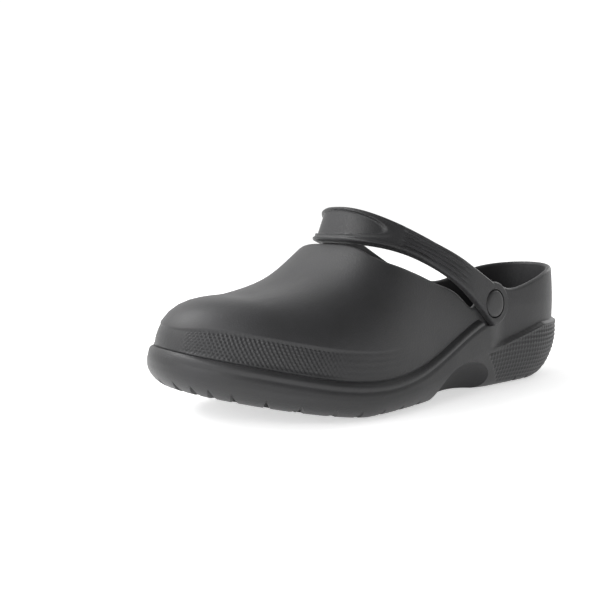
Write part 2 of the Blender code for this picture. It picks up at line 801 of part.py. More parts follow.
def build_rivet(pivot):
    """A button, its pin and the flange inside the shoe, turned as one piece."""
    well = STRAP_FACE - BUTTON_WELL_DEPTH + GAP
    crown = STRAP_FACE + BUTTON_RISE
    inner = -WALL - FLANGE_GAP
    profile = (
        (0.0, crown),
        *((BUTTON_RADIUS - inset, crown - drop) for inset, drop in BUTTON_EDGE),
        (BUTTON_RADIUS, well),
        (PIN_RADIUS, well),
        (PIN_RADIUS, inner),
        *((FLANGE_RADIUS - inset, inner - drop) for inset, drop in FLANGE_EDGE),
        (0.0, inner - FLANGE_EDGE[-1][1]),
    )
    bm = bmesh.new()
    vertices = [bm.verts.new((radius * MM, 0.0, height * MM)) for radius, height in profile]
    edges = [bm.edges.new(pair) for pair in zip(vertices, vertices[1:])]
    bmesh.ops.spin(
        bm,
        geom=vertices + edges,
        cent=(0, 0, 0),
        axis=(0, 0, 1),
        angle=2 * math.pi,
        steps=BUTTON_SIDES,
        use_merge=True,
    )
    bmesh.ops.remove_doubles(bm, verts=bm.verts, dist=1e-6)
    turn = Vector(pivot.out).to_track_quat("Z", "Y").to_matrix().to_4x4()
    bmesh.ops.transform(bm, matrix=Matrix.Translation(place(pivot.point)) @ turn, verts=bm.verts)
    bmesh.ops.recalc_face_normals(bm, faces=bm.faces)
    return add_object("rivet_" + pivot.name, bm, RIVET_NYLON)


def build_insole(normal, foot):
    """A loose foam footbed that fills the cavity's floor from side to side."""

    def ring(inset, rise):
        points = foot.copy()
        points[:, :2] -= normal * inset
        points[:, 2] = floor(points[:, 0]) + rise
        return points

    def under(x):
        return floor(x) + GAP

    def over(x):
        return floor(x) + GAP + INSOLE_THICKNESS

    low = ring(INSOLE_EDGE, GAP)
    rim = ring(INSOLE_EDGE - INSOLE_SPREAD, GAP + FLOOR_CORNER)
    high = ring(INSOLE_EDGE, GAP + INSOLE_THICKNESS)
    rings = [midline(low, under), low, rim, high, midline(high, over)]
    return add_object("insole", ring_mesh(rings), INSOLE_FOAM)


def main():
    for thing in list(bpy.data.objects):
        bpy.data.objects.remove(thing, do_unlink=True)
    curve, line, normal, edge = outline()
    upper = Upper(curve)
    pivots = [Pivot(upper, 0), Pivot(upper, 1)]
    rings, foot = body_rings(upper, line, normal, edge)
    build_body(upper, curve, rings, pivots)
    build_insole(normal, foot)
    build_strap(pivots)
    for pivot in pivots:
        build_rivet(pivot)


main()
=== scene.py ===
"""Looks of the left chef clog: its foam moulding, heel strap, footbed and rivets, finely divided.

Sizes are in millimetres until a piece is placed. X runs from heel to toe, Y to the outer side
and Z up.
"""

import math

import bmesh
import bpy
import numpy as np
from bpy.props import FloatProperty, FloatVectorProperty, PointerProperty
from mathutils import Matrix, Vector


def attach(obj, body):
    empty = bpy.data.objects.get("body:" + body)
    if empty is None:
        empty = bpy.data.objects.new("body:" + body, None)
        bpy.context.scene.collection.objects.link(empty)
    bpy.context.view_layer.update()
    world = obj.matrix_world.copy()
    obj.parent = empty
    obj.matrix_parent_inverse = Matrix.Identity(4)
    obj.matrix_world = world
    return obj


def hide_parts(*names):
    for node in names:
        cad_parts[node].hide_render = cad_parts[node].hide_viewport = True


bl_info = {
    "name": "Chef Clog",
    "version": (1, 0, 0),
    "blender": (4, 5, 0),
    "location": "3D View > Sidebar > Clog",
    "description": "Builds the visible pieces of a moulded foam chef clog and its studio",
    "category": "Object",
}

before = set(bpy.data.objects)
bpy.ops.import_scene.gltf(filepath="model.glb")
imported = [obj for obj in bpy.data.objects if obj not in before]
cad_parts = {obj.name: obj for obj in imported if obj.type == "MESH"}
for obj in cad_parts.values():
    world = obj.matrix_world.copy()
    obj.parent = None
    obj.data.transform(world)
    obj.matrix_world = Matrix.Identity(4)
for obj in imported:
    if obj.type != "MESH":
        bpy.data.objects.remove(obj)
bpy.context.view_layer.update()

MM = 0.001
GAP = 0.3

# Main sizes of the moulding
LENGTH = 284.8
SIDE_SHIFT = 0.4
WALL = 5.0
RIM_WALL = 3.6
RIM_TAPER = 15.0
UPPER_INSET = 2.2

# Widest line of the sole seen from above, a row for each section
OUTLINE_ROWS = (
    # x, outer side, inner side
    (6.0, 19.3, -18.3),
    (24.0, 33.5, -31.3),
    (60.0, 39.3, -35.7),
    (100.0, 42.0, -36.6),
    (140.0, 48.2, -40.0),
    (178.0, 54.5, -48.0),
    (207.0, 54.2, -53.2),
    (232.0, 47.0, -54.3),
    (256.0, 33.6, -50.5),
    (275.5, 14.6, -38.0),
)
HEEL_TIP = (0.0, 0.0)
TOE_TIP = (284.8, -11.0)

# Height of the line where the upper meets the sole's edge, and of the floor under the footbed
HEIGHT_ROWS = (
    # x, style line, floor
    (0.0, 50.0, 29.0),
    (45.0, 50.0, 27.0),
    (75.0, 50.0, 25.0),
    (100.0, 44.8, 21.5),
    (125.0, 34.7, 17.5),
    (150.0, 25.0, 15.0),
    (180.0, 20.2, 13.5),
    (215.0, 23.0, 15.5),
    (250.0, 30.5, 21.5),
    (268.0, 34.4, 25.6),
    (278.0, 36.6, 28.1),
    (284.8, 38.2, 30.0),
)

# Crest of the last's upper surface along its spine
ROOF_ROWS = (
    # x, height
    (0.0, 114.0),
    (60.0, 110.0),
    (110.0, 109.0),
    (140.0, 103.0),
    (160.0, 102.7),
    (175.0, 95.7),
    (182.0, 89.8),
    (188.0, 84.5),
    (196.0, 77.8),
    (206.0, 71.4),
    (215.0, 67.7),
    (238.0, 62.3),
)
ROOF_FOOT = 18.0
ROOF_SIDE_POWER = 3.55
ROOF_TOP_POWER = 3.01
SPINE_HEEL = (36.0, 0.0)
SPINE_TOE = (237.0, -4.0)

# Top of the collar and throat seen from the side
COLLAR_ROWS = (
    # x, height
    (2.0, 73.4),
    (30.0, 69.2),
    (60.0, 61.6),
    (78.0, 62.4),
    (90.0, 65.2),
    (98.0, 58.5),
    (106.0, 52.0),
    (120.0, 59.2),
    (138.0, 67.0),
    (152.0, 72.2),
    (164.0, 76.6),
    (173.0, 79.9),
    (179.0, 82.5),
    (182.0, 84.6),
    (183.3, 87.6),
    (184.0, 92.5),
)
THROAT_SEARCH = (150.0, 187.0)
FAN_START = 128.0

# Underside: heel curl, waist and toe spring
HEEL_CURL = 8.3
HEEL_FLAT = 42.0
HEEL_POWER = 1.5
WAIST_START = 80.0
WAIST_END = 150.0
WAIST_LIFT = 2.0
SPRING_START = 192.0
TOE_SPRING = 18.4
SPRING_POWER = 1.2

# Side of the sole: how far its lower corner turns in, and where it is widest
CORNER_INSET = 11.75
CORNER_POWER = 1.7
WIDEST = 0.55
SIDE_TOP_INSET = 0.6
STEP_START = 76.0
STEP_END = 94.0

# Raised grip panel round the heel
PANEL_HEIGHT = 37.0
PANEL_BACK = 38.0
PANEL_FRONT = 90.0
PANEL_FRONT_HEIGHT = 25.5
PANEL_END = 98.0
PANEL_LIP = (-0.9, 0.9)

# Scoops in both sides of the waist
SCOOP_CENTRE = 113.5
SCOOP_LENGTH = 29.5
SCOOP_HEIGHT = 20.5
SCOOP_DEPTH = 16.0
SCOOP_SIDES = 96

# Tread: notches round the edge and channels from side to side
NOTCH_PITCH = 13.0
FORE_NOTCH_WAYS = (0.0, 14.0, 25.0, 35.0, 47.0, 64.5, 82.5, 101.5, 117.0, 132.5, 147.5, 163.0)
NOTCH_WIDTH = 7.0
NOTCH_RISE = 6.0
NOTCH_INNER_RISE = 2.6
NOTCH_REACH = 14.0
NOTCH_OVERHANG = 3.0
FORE_NOTCHES = len(FORE_NOTCH_WAYS)
HEEL_NOTCHES = 7
CHANNEL_END = 246.0
CHANNEL_SHORTEST = 60.0
CHANNEL_WIDTH = 3.6
CHANNEL_DEPTH = 3.0
WEDGE_SINK = 1.0

# Rivets and the strap's round ends
PIVOT_X = 92.4
PIVOT_Z = 52.9
PIVOT_CLEAR = 14.0
SEAT_DEPTH = 0.4
SEAT_RADIUS = 13.5
STRAP_END_RADIUS = 13.0
PIN_RADIUS = 3.0
BUTTON_RADIUS = 8.0
BUTTON_WELL_RADIUS = 8.7
BUTTON_WELL_DEPTH = 2.0
BUTTON_RISE = 0.7
FLANGE_RADIUS = 5.5
FLANGE_GAP = 0.9
ROUND_SIDES = 96

# Rounded edges of the button and of the flange: inset from the radius, and depth below the face
BUTTON_EDGE = (
    (5.0, 0.02),
    (2.6, 0.1),
    (1.2, 0.22),
    (0.6, 0.4),
    (0.25, 0.65),
    (0.05, 1.0),
    (0.0, 1.4),
)
FLANGE_EDGE = ((0.0, 0.0), (0.0, 1.0), (0.25, 1.4), (0.8, 1.6))

# Heel strap, swung forward over the instep: each edge's reach from the rivets, its half widths,
# how square its arc is, its height at the rivets, and how that height grows with the reach's share
# and its square
STRAP_THICKNESS = 4.8
STRAP_FACE = STRAP_THICKNESS + GAP - SEAT_DEPTH
STRAP_UPPER = {
    "reach": 84.9,
    "outer": 44.3,
    "inner": 37.6,
    "power": 2.54,
    "foot": 65.9,
    "rise": 46.0,
    "bow": -1.9,
}
STRAP_LOWER = {
    "reach": 90.3,
    "outer": 42.9,
    "inner": 36.2,
    "power": 3.04,
    "foot": 39.9,
    "rise": 90.4,
    "bow": -39.8,
}
STRAP_MIDDLE = -1.0
STRAP_FLAT_END = 0.2
STRAP_FREE = 0.55

# Footbed: thickness, how far its edge stays inside the floor's corner, how far its middle spreads,
# and the rings of its edge and of its top
INSOLE_THICKNESS = 4.0
INSOLE_EDGE = 0.6
INSOLE_SPREAD = 1.3
FLOOR_CORNER = 2.0
BED_EDGE_RINGS = 9
BED_TOP_RINGS = 12

# How finely the moulding is divided: columns round it, closest together at the toe, and rings
HALF = 350
COLUMNS = 2 * HALF
COLUMN_DENSITY = (
    # share of half the outline, columns per share
    (0.0, 1.0),
    (0.34, 1.0),
    (0.40, 0.4),
    (0.64, 0.4),
    (0.70, 1.6),
    (1.0, 1.6),
)
SPAN_STEPS = 96
FACE_STEPS = 260
FOOT_STEPS = 8
COLLAR_STEPS = 1600
SIDE_RINGS = 61
CORNER_SHARES = (0.0, 0.003, 0.009)
TOE_RINGS = 30
TOE_BAND = 16.2
TOE_BAND_AT_TIP = 12.2
TOE_BAND_GROWS = (5.0, 38.0)
TOE_BAND_SHARE = 0.5
VAMP_RINGS = 16
RIM_RINGS = 9
LINING_RINGS = 6

# Bead under the style line: distance below it, extra inset, and share of the ledge that is left
BEAD_ROWS = (
    (7.2, 0.0, 0.0),
    (6.2, 0.1, 0.0),
    (5.5, 0.3, 0.0),
    (4.95, 0.45, 0.0),
    (4.5, 0.42, 0.0),
    (4.05, 0.2, 0.0),
    (3.5, -0.05, 0.0),
    (2.9, -0.2, 0.0),
    (2.3, -0.22, 0.0),
    (1.8, -0.15, 0.02),
    (1.35, 0.0, 0.12),
    (0.9, 0.1, 0.45),
    (0.45, 0.25, 0.88),
)
BEAD_START = (8.0, 40.0)
TOE_SHOULDER = 8.0
GROOVE_DEPTH = 0.4
GROOVE_WIDTH = 0.6

# Grip pattern at the toe, as distances from the toe's tip along the edge, and its depths
TOE_GRIP_START = (12.0, 20.0)
TOE_GRIP_END = (88.0, 110.0)
TOE_LINES_END = (125.0, 155.0)
TOE_RECESS_END = (100.0, 150.0)
TOE_GRIP_ROWS = (1.1, 2.0, 14.2, 15.0)
TOE_LIP = (14.9, 15.8)
TOE_GRIP_DEPTH = 0.9
TOE_LINES_DEPTH = 0.06
TOE_RECESS = 0.45
TOE_COLUMN_PERIOD = 4
TOE_RING_PERIOD = 6

# Pips of the heel's grip panel: rings and columns to a pip, and the slant of the panel's front edge
PIP_RINGS = 4
PIP_COLUMNS = 3
PIP_DEPTH = 0.6
PIP_FRONT = 97.0
PIP_SLANT = 0.85
PIP_EDGE = 1.0
PIP_BORDER = 1.5
PIP_FOOT = (2.0, 4.0)

# Strap: stations along it, points across it, and the raised and sunk lines of its face. A corner's
# radius is at most the width over STRAP_NARROW, and the relief fades to the edge over LIFT_FADE.
STRAP_STATIONS = 260
STRAP_END_STATIONS = 28
STRAP_END_TURN = math.radians(88.5)
STRAP_CORNER = 1.5
STRAP_INNER_CORNER = 0.8
STRAP_NARROW = 2.4
LIFT_FADE = (0.2, 1.5)
CORNER_POINTS = 6
FACE_POINTS = 60
BACK_POINTS = 8
OVAL_HALF_LENGTH = 37.0
OVAL_HALF_WIDTH = 7.5
OVAL_CENTRE = 0.56
OVAL_RIDGE = (0.5, 0.5)
OVAL_DISH = 1.0
OVAL_WALL = (0.9, 0.98)
PAD_END = (44.2, 45.0)
PAD_RISE = 0.35
BORDER = {"height": 0.8, "place": 1.9, "width": 1.0, "end": (58.0, 76.0)}
FLARE = {"height": 1.3, "place": 27.0, "length": 14.0, "width": 3.0}
RIB_GROOVES = (0.24, 0.43, 0.62, 0.80)
RIB_GROOVE_HALF = 0.05
RIB_GROOVE_FLOOR = 0.6
RIB_GROOVE_DEPTH = 0.65
RIB_GROOVE_START = (46.0, 47.2)
RIB_GROOVE_END = (84.0, 98.0)
EDGE_LINE = {"height": 0.35, "place": 2.1, "width": 0.5}

# Edges sharper than these angles stay sharp, and points closer than this, in metres, are one
SHARP_ANGLE = math.radians(38)
RIVET_SHARP_ANGLE = math.radians(50)
WELD = 1e-6

# Finishes: sizes and depths of their pits, grain, nap and pores in millimetres
PIT_TO_GRAIN = 1.6
PIT_DEPTH = 0.25
GRAIN_DEPTH = 0.3
SAG_DEPTH = 1.2
NAP_SIZE = 1.1
NAP_DEPTH = 0.4
PORE_SIZE = 1.6
PORE_DEPTH = 0.5
NYLON_GRAIN_SIZE = 0.9
PAPER_CLOUD_SIZE = 400.0

# Sockets of a colour Mix node: its two colours, and what comes out
FIRST_COLOUR = 6
SECOND_COLOUR = 7
MIXED_COLOUR = 2

# Darker side of the white dome: the way towards it, and where its shade starts and is full
DARK_SIDE = (-0.15, 0.87, 0.45)
DARK_FADE = (-0.3, 0.6)

# Soft lamps, in metres
LAMPS = (
    # name, place, aimed at, side, setting of its power, share of that
    ("softbox_over_toe", (0.7, -0.6, 1.0), (0.06, 0.0, 0.05), 0.7, "key_power", 1.0),
    ("lamp_by_toe", (0.42, 0.1, 0.2), (0.1, 0.02, 0.03), 0.25, "toe_power", 1.0),
    ("softbox_behind_heel", (-1.1, -0.1, 0.5), (-0.1, 0.0, 0.05), 0.6, "key_power", 0.25),
)

# Camera at the photograph's place and angle, in metres
CAMERA_PLACE = (0.30536, 0.34711, 0.10376)
CAMERA_ALONG = (-0.57321, -0.81251, -0.10615)
CAMERA_LENS = 46.49
SENSOR = 36.0


def linear(hex_colour):
    """An sRGB hex colour as linear red, green, blue."""
    parts = [int(hex_colour[i : i + 2], 16) / 255 for i in (1, 3, 5)]
    return tuple(c / 12.92 if c <= 0.04045 else ((c + 0.055) / 1.055) ** 2.4 for c in parts)


def smooth(value, start, end):
    """Goes from 0 at start to 1 at end with level ends."""
    t = np.clip((np.asarray(value, float) - start) / (end - start), 0.0, 1.0)
    return t * t * (3.0 - 2.0 * t)


def bump(value, place, width):
    return np.exp(-(((value - place) / width) ** 2))


def unit(vectors):
    return vectors / np.linalg.norm(vectors, axis=-1, keepdims=True)


def through(rows, x, column=1):
    """Reads a table's column at x along a smooth curve through its rows, level past both ends."""
    xs = np.array([row[0] for row in rows])
    ys = np.array([row[column] for row in rows])
    count = len(xs)
    gaps = np.diff(xs)
    matrix = np.eye(count)
    right = np.zeros(count)
    for i in range(1, count - 1):
        matrix[i, i - 1 : i + 2] = gaps[i - 1] / 6, (gaps[i - 1] + gaps[i]) / 3, gaps[i] / 6
        right[i] = (ys[i + 1] - ys[i]) / gaps[i] - (ys[i] - ys[i - 1]) / gaps[i - 1]
    bend = np.linalg.solve(matrix, right)
    x = np.clip(x, xs[0], xs[-1])
    k = np.clip(np.searchsorted(xs, x, side="right") - 1, 0, count - 2)
    a = (xs[k + 1] - x) / gaps[k]
    b = 1.0 - a
    pull = ((a**3 - a) * bend[k] + (b**3 - b) * bend[k + 1]) * gaps[k] ** 2 / 6
    return a * ys[k] + b * ys[k + 1] + pull


def closed_curve(points, per_span):
    """A smooth closed curve through points, with per_span samples from each point to the next."""
    points = np.array(points, float)
    count = len(points)
    spans = np.linalg.norm(np.roll(points, -1, 0) - points, axis=1)
    matrix = np.zeros((count, count))
    right = np.zeros_like(points)
    for i in range(count):
        before = spans[i - 1]
        after = spans[i]
        matrix[i, i - 1] += before / 6
        matrix[i, i] += (before + after) / 3
        matrix[i, (i + 1) % count] += after / 6
        ahead = points[(i + 1) % count] - points[i]
        right[i] = ahead / after - (points[i] - points[i - 1]) / before
    bend = np.linalg.solve(matrix, right)
    curve = []
    for i in range(count):
        j = (i + 1) % count
        b = np.arange(per_span)[:, None] / per_span
        a = 1.0 - b
        pull = ((a**3 - a) * bend[i] + (b**3 - b) * bend[j]) * spans[i] ** 2 / 6
        curve.append(a * points[i] + b * points[j] + pull)
    return np.concatenate(curve)


def lengths(points):
    """Distance along a line of points, from its start to each point."""
    steps = np.linalg.norm(np.diff(points, axis=0), axis=1)
    return np.concatenate([[0.0], np.cumsum(steps)])


def resample(points, places, measured=3):
    """Points of a line at the given shares of its length, which its first columns measure."""
    run = lengths(points[:, :measured])
    at = np.asarray(places) * run[-1]
    return np.stack([np.interp(at, run, points[:, k]) for k in range(points.shape[1])], -1)


def outward(loop):
    """Unit normals of a closed plan curve that runs from the heel along the outer side."""
    along = np.roll(loop, -1, 0) - np.roll(loop, 1, 0)
    return unit(np.stack([-along[:, 1], along[:, 0]], -1))


def column_shares():
    """Shares of half the outline at which the columns stand."""
    share = np.linspace(0.0, 1.0, COLLAR_STEPS)
    dense = np.interp(share, *np.array(COLUMN_DENSITY).T)
    run = np.concatenate([[0.0], np.cumsum((dense[1:] + dense[:-1]) / 2)])
    return np.interp(np.arange(HALF) / HALF, run / run[-1], share)


def outline():
    """The sole's widest line, fine, and for each column its point, normal, upper's edge and way to
    the toe."""
    outer = [(x, y) for x, y, _ in OUTLINE_ROWS]
    inner = [(x, y) for x, _, y in reversed(OUTLINE_ROWS)]
    curve = closed_curve([HEEL_TIP, *outer, TOE_TIP, *inner], SPAN_STEPS)
    toe = (len(outer) + 1) * SPAN_STEPS
    shares = column_shares()
    normals = outward(curve)
    both = np.hstack([curve, normals, curve - normals * UPPER_INSET])
    first = both[: toe + 1]
    second = np.vstack([both[toe:], both[:1]])
    there = lengths(first[:, :2])[-1] * (1 - shares)
    back = lengths(second[:, :2])[-1] * (1 - np.append(shares[1:], 1.0))[::-1]
    first = resample(first, shares, 2)
    second = resample(second[::-1], np.append(shares[1:], 1.0), 2)[::-1]
    both = np.vstack([first, second])
    return curve, both[:, 0:2], unit(both[:, 2:4]), both[:, 4:6], np.concatenate([there, back])


def underside(x):
    """Height of the tread: curled up behind the heel, lifted at the waist, sprung at the toe."""
    heel = HEEL_CURL * np.clip((HEEL_FLAT - x) / HEEL_FLAT, 0, 1) ** HEEL_POWER
    across = np.clip((x - WAIST_START) / (WAIST_END - WAIST_START), 0, 1)
    waist = WAIST_LIFT * np.sin(np.pi * across) ** 2
    toe = TOE_SPRING * np.clip((x - SPRING_START) / (LENGTH - SPRING_START), 0, 1) ** SPRING_POWER
    return heel + waist + toe


class Upper:
    """The upper's outer surface: ribs that spring from the inset outline to a crest over the
    spine."""

    def __init__(self, curve):
        self.edge = curve - outward(curve) * UPPER_INSET
        heel = np.array(SPINE_HEEL)
        toe = np.array(SPINE_TOE)
        self.ends = heel, toe
        count = len(self.edge)
        tip = int(np.argmax(self.edge[:, 0]))
        self.sides = self.edge[: tip + 1], self.edge[np.arange(tip, count + 1) % count][::-1]
        self.fans = []
        for centre in self.ends:
            offset = self.edge - centre
            angle = np.arctan2(offset[:, 1], offset[:, 0])
            order = np.argsort(angle)
            radius = np.linalg.norm(offset, axis=1)
            self.fans.append((angle[order], radius[order]))

    def spine(self, x):
        heel, toe = self.ends
        share = np.clip((x - heel[0]) / (toe[0] - heel[0]), 0, 1)
        return heel + share[..., None] * (toe - heel)

    def reach(self, x, y):
        """How far (x, y) lies from the spine towards the edge: 0 on the spine, 1 at the edge."""
        x = np.asarray(x, float)
        y = np.asarray(y, float)
        base = self.spine(x)
        outer, inner = self.sides
        limit = np.where(
            y >= base[..., 1],
            np.interp(x, outer[:, 0], outer[:, 1]) - base[..., 1],
            base[..., 1] - np.interp(x, inner[:, 0], inner[:, 1]),
        )
        share = np.abs(y - base[..., 1]) / limit
        for centre, (angles, radii), beyond in zip(
            self.ends, self.fans, (x < self.ends[0][0], x > self.ends[1][0])
        ):
            angle = np.arctan2(y - centre[1], x - centre[0])
            radius = np.interp(angle, angles, radii, period=2 * math.pi)
            share = np.where(beyond, np.hypot(x - centre[0], y - centre[1]) / radius, share)
        return share

    def crest(self, x):
        return through(ROOF_ROWS, self.spine(x)[..., 0])

    def reach_at(self, x, z):
        """The share of the way from spine to edge at which the surface has height z."""
        rise = np.clip((z - ROOF_FOOT) / (self.crest(x) - ROOF_FOOT), 0, 1)
        return (1 - rise**ROOF_TOP_POWER) ** (1 / ROOF_SIDE_POWER)

    def collar(self, side):
        """Half of the collar's edge in plan, from the heel's middle to the throat's middle."""
        line = self.sides[side]
        top = through(COLLAR_ROWS, line[:, 0]) - RIM_WALL / 2
        inside = top < self.crest(line[:, 0])
        share = self.reach_at(line[:, 0], top)
        points = self.spine(line[:, 0])
        points = points + (line - points) * share[:, None]
        points = points[inside & (line[:, 0] < self.throat())]
        fine = np.linspace(points[-1, 0], self.throat(), COLLAR_STEPS)[1:]
        base = self.spine(fine)
        limit = np.interp(fine, line[:, 0], line[:, 1])
        share = self.reach_at(fine, through(COLLAR_ROWS, fine) - RIM_WALL / 2)
        front = np.stack([fine, base[:, 1] + (limit - base[:, 1]) * share], -1)
        return np.vstack([points, front])

    def throat(self):
        """Where the collar's curve meets the crest, in front of the instep."""
        xs = np.linspace(*THROAT_SEARCH, COLLAR_STEPS)
        over = through(COLLAR_ROWS, xs) - RIM_WALL / 2 - self.crest(xs)
        return float(xs[np.argmax(over > 0)])


def collar_points(upper, edge):
    """A collar point for each column: straight across behind FAN_START, fanned round the toe
    before it."""
    result = np.zeros_like(edge)
    for side in (0, 1):
        index = np.arange(HALF + 1) * (1 - 2 * side) % COLUMNS
        line = edge[index]
        run = lengths(line)
        collar = upper.collar(side)
        collar_run = lengths(collar)
        split = run[np.argmax(line[:, 0] > FAN_START)]
        collar_split = collar_run[np.argmax(collar[:, 0] > line[run == split, 0])]
        spine = upper.spine(line[:, 0])
        top = through(COLLAR_ROWS, line[:, 0]) - RIM_WALL / 2
        straight = spine + (line - spine) * upper.reach_at(line[:, 0], top)[:, None]
        share = np.clip((run - split) / (run[-1] - split), 0, 1)
        at = collar_split + share * (collar_run[-1] - collar_split)
        fanned = np.stack([np.interp(at, collar_run, collar[:, k]) for k in (0, 1)], -1)
        result[index] = np.where((run < split)[:, None], straight, fanned)
    return result


def upper_faces(upper, edge):
    """Fine lines down the upper's outer face, one for each column, with the inner face and the
    normals."""
    start = collar_points(upper, edge)
    share = 1 - (1 - np.linspace(0, 1, FACE_STEPS)) ** 3
    plan = start[:, None] + (edge - start)[:, None] * share[None, :, None]
    reach = upper.reach(plan[..., 0], plan[..., 1])
    reach = np.clip(reach / reach[:, -1:], 0, 1)
    rise = (1 - reach**ROOF_SIDE_POWER) ** (1 / ROOF_TOP_POWER)
    z = ROOF_FOOT + (upper.crest(plan[..., 0]) - ROOF_FOOT) * rise
    face = np.dstack([plan, z])
    foot = np.repeat(face[:, -1:], FOOT_STEPS, 1)
    foot[..., 2] -= np.arange(1, FOOT_STEPS + 1)
    face = np.concatenate([face, foot], 1)
    down = np.gradient(face, axis=1)
    across = np.roll(face, -1, 0) - np.roll(face, 1, 0)
    normal = unit(np.cross(across, down))
    run = np.array([lengths(line) for line in face])
    wall = RIM_WALL + (WALL - RIM_WALL) * smooth(run, 0.0, RIM_TAPER)
    return face, face - normal * wall[..., None], normal


def down_to(line, level):
    """The part of a falling line above a level, which is a function of x, ending on that level."""
    over = line[:, 2] - level(line[:, 0])
    k = int(np.argmax(over <= 0))
    share = over[k - 1] / (over[k - 1] - over[k])
    return np.vstack([line[:k], line[k - 1] + (line[k] - line[k - 1]) * share])


def style_line(x):
    return through(HEIGHT_ROWS, x, 1)


def floor(x):
    return through(HEIGHT_ROWS, x, 2)


def midline(ring, level):
    """The ring drawn together: each point goes midway between it and its partner on the other
    side."""
    partner = (-np.arange(len(ring))) % len(ring)
    middle = (ring + ring[partner]) / 2
    middle[:, 2] = level(middle[:, 0])
    return middle


def pips(ring, z, x, panel_top, low):
    """How deep the grooves between the heel panel's pips are at each column of a ring."""
    column = np.minimum(np.arange(COLUMNS), COLUMNS - np.arange(COLUMNS))
    row_groove = 0.5 + 0.5 * math.cos(2 * math.pi * ring / PIP_RINGS)
    groove = np.maximum(row_groove, (column % PIP_COLUMNS == 0) * 1.0)
    front = PIP_FRONT - PIP_SLANT * np.clip(PANEL_FRONT_HEIGHT - z, 0, None)
    inside = 1 - smooth(x, front - PIP_EDGE, front)
    inside = inside * (1 - smooth(z + PIP_BORDER, panel_top - PIP_EDGE, panel_top))
    inside = inside * smooth(z - low, *PIP_FOOT)
    return PIP_DEPTH * groove * inside


def side_rings(line, normal, groove, way):
    """Rings up the side of the sole: rounded corner, widest line, heel panel with its pips, and
    bead."""
    x = line[:, 0]
    low = underside((line - normal * CORNER_INSET)[:, 0])
    top = style_line(x)
    widest = low + (top - low) * WIDEST
    ledge = np.einsum("ij,ij->i", line - groove[:, :2], normal)
    step = smooth(x, STEP_START, STEP_END)
    slope = np.clip((x - PANEL_BACK) / (PANEL_FRONT - PANEL_BACK), 0, 1)
    panel_top = PANEL_HEIGHT + (PANEL_FRONT_HEIGHT - PANEL_HEIGHT) * slope
    on_heel = 1 - smooth(x, PANEL_FRONT, PANEL_END)
    shares = np.append(CORNER_SHARES, np.linspace(0, 1, SIDE_RINGS)[1:-1])
    rows = [(low + (top - BEAD_ROWS[0][0] - low) * share, 0.0, 0.0) for share in shares]
    rows += [(top - drop, extra, left) for drop, extra, left in BEAD_ROWS]
    rings = []
    bead = smooth(way, *BEAD_START)
    for k, (z, extra, left) in enumerate(rows):
        left = left + (np.clip(1 - (top - z) / TOE_SHOULDER, 0, 1) ** 2 - left) * (1 - bead)
        turn = np.clip((widest - z) / (widest - low), 0, 1)
        below = CORNER_INSET * (1 - (1 - turn**CORNER_POWER) ** (1 / CORNER_POWER))
        lean = SIDE_TOP_INSET * np.clip((z - widest) / (top - widest), 0, 1) ** 2
        lip = smooth(z, panel_top + PANEL_LIP[0], panel_top + PANEL_LIP[1])
        heel = ledge * (lip * on_heel + smooth(z, widest, top) * (1 - on_heel))
        front = lean * (1 - left) + extra * bead + ledge * left
        inset = below + step * front + (1 - step) * np.where(z > widest, heel, 0.0)
        inset = inset + pips(k, z, x, panel_top, low)
        rings.append(np.column_stack([line - normal * inset[:, None], z]))
    return rings


def toe_relief(ring, climb, way, step):
    """How far the upper's face is sunk near the style line: the groove, the toe's panel and its
    grip."""
    column = np.abs(np.arange(COLUMNS) - HALF)
    groove = GROOVE_DEPTH * bump(climb, 0.0, GROOVE_WIDTH) * step
    height = TOE_BAND * ring / TOE_RINGS
    recess = TOE_RECESS * (1 - smooth(height, *TOE_LIP)) * (1 - smooth(way, *TOE_RECESS_END))
    rows = smooth(height, *TOE_GRIP_ROWS[:2]) * (1 - smooth(height, *TOE_GRIP_ROWS[2:]))
    wave = math.cos(2 * math.pi * ring / TOE_RING_PERIOD)
    dimple = 0.5 - 0.5 * wave * np.cos(2 * math.pi * column / TOE_COLUMN_PERIOD)
    grip = TOE_GRIP_DEPTH * dimple * smooth(way, *TOE_GRIP_START) * (1 - smooth(way, *TOE_GRIP_END))
    lines = TOE_LINES_DEPTH * (0.5 - 0.5 * math.cos(2 * math.pi * ring / TOE_RING_PERIOD))
    lines = lines * smooth(way, *TOE_GRIP_END) * (1 - smooth(way, *TOE_LINES_END))
    return groove + recess + rows * (grip + lines)


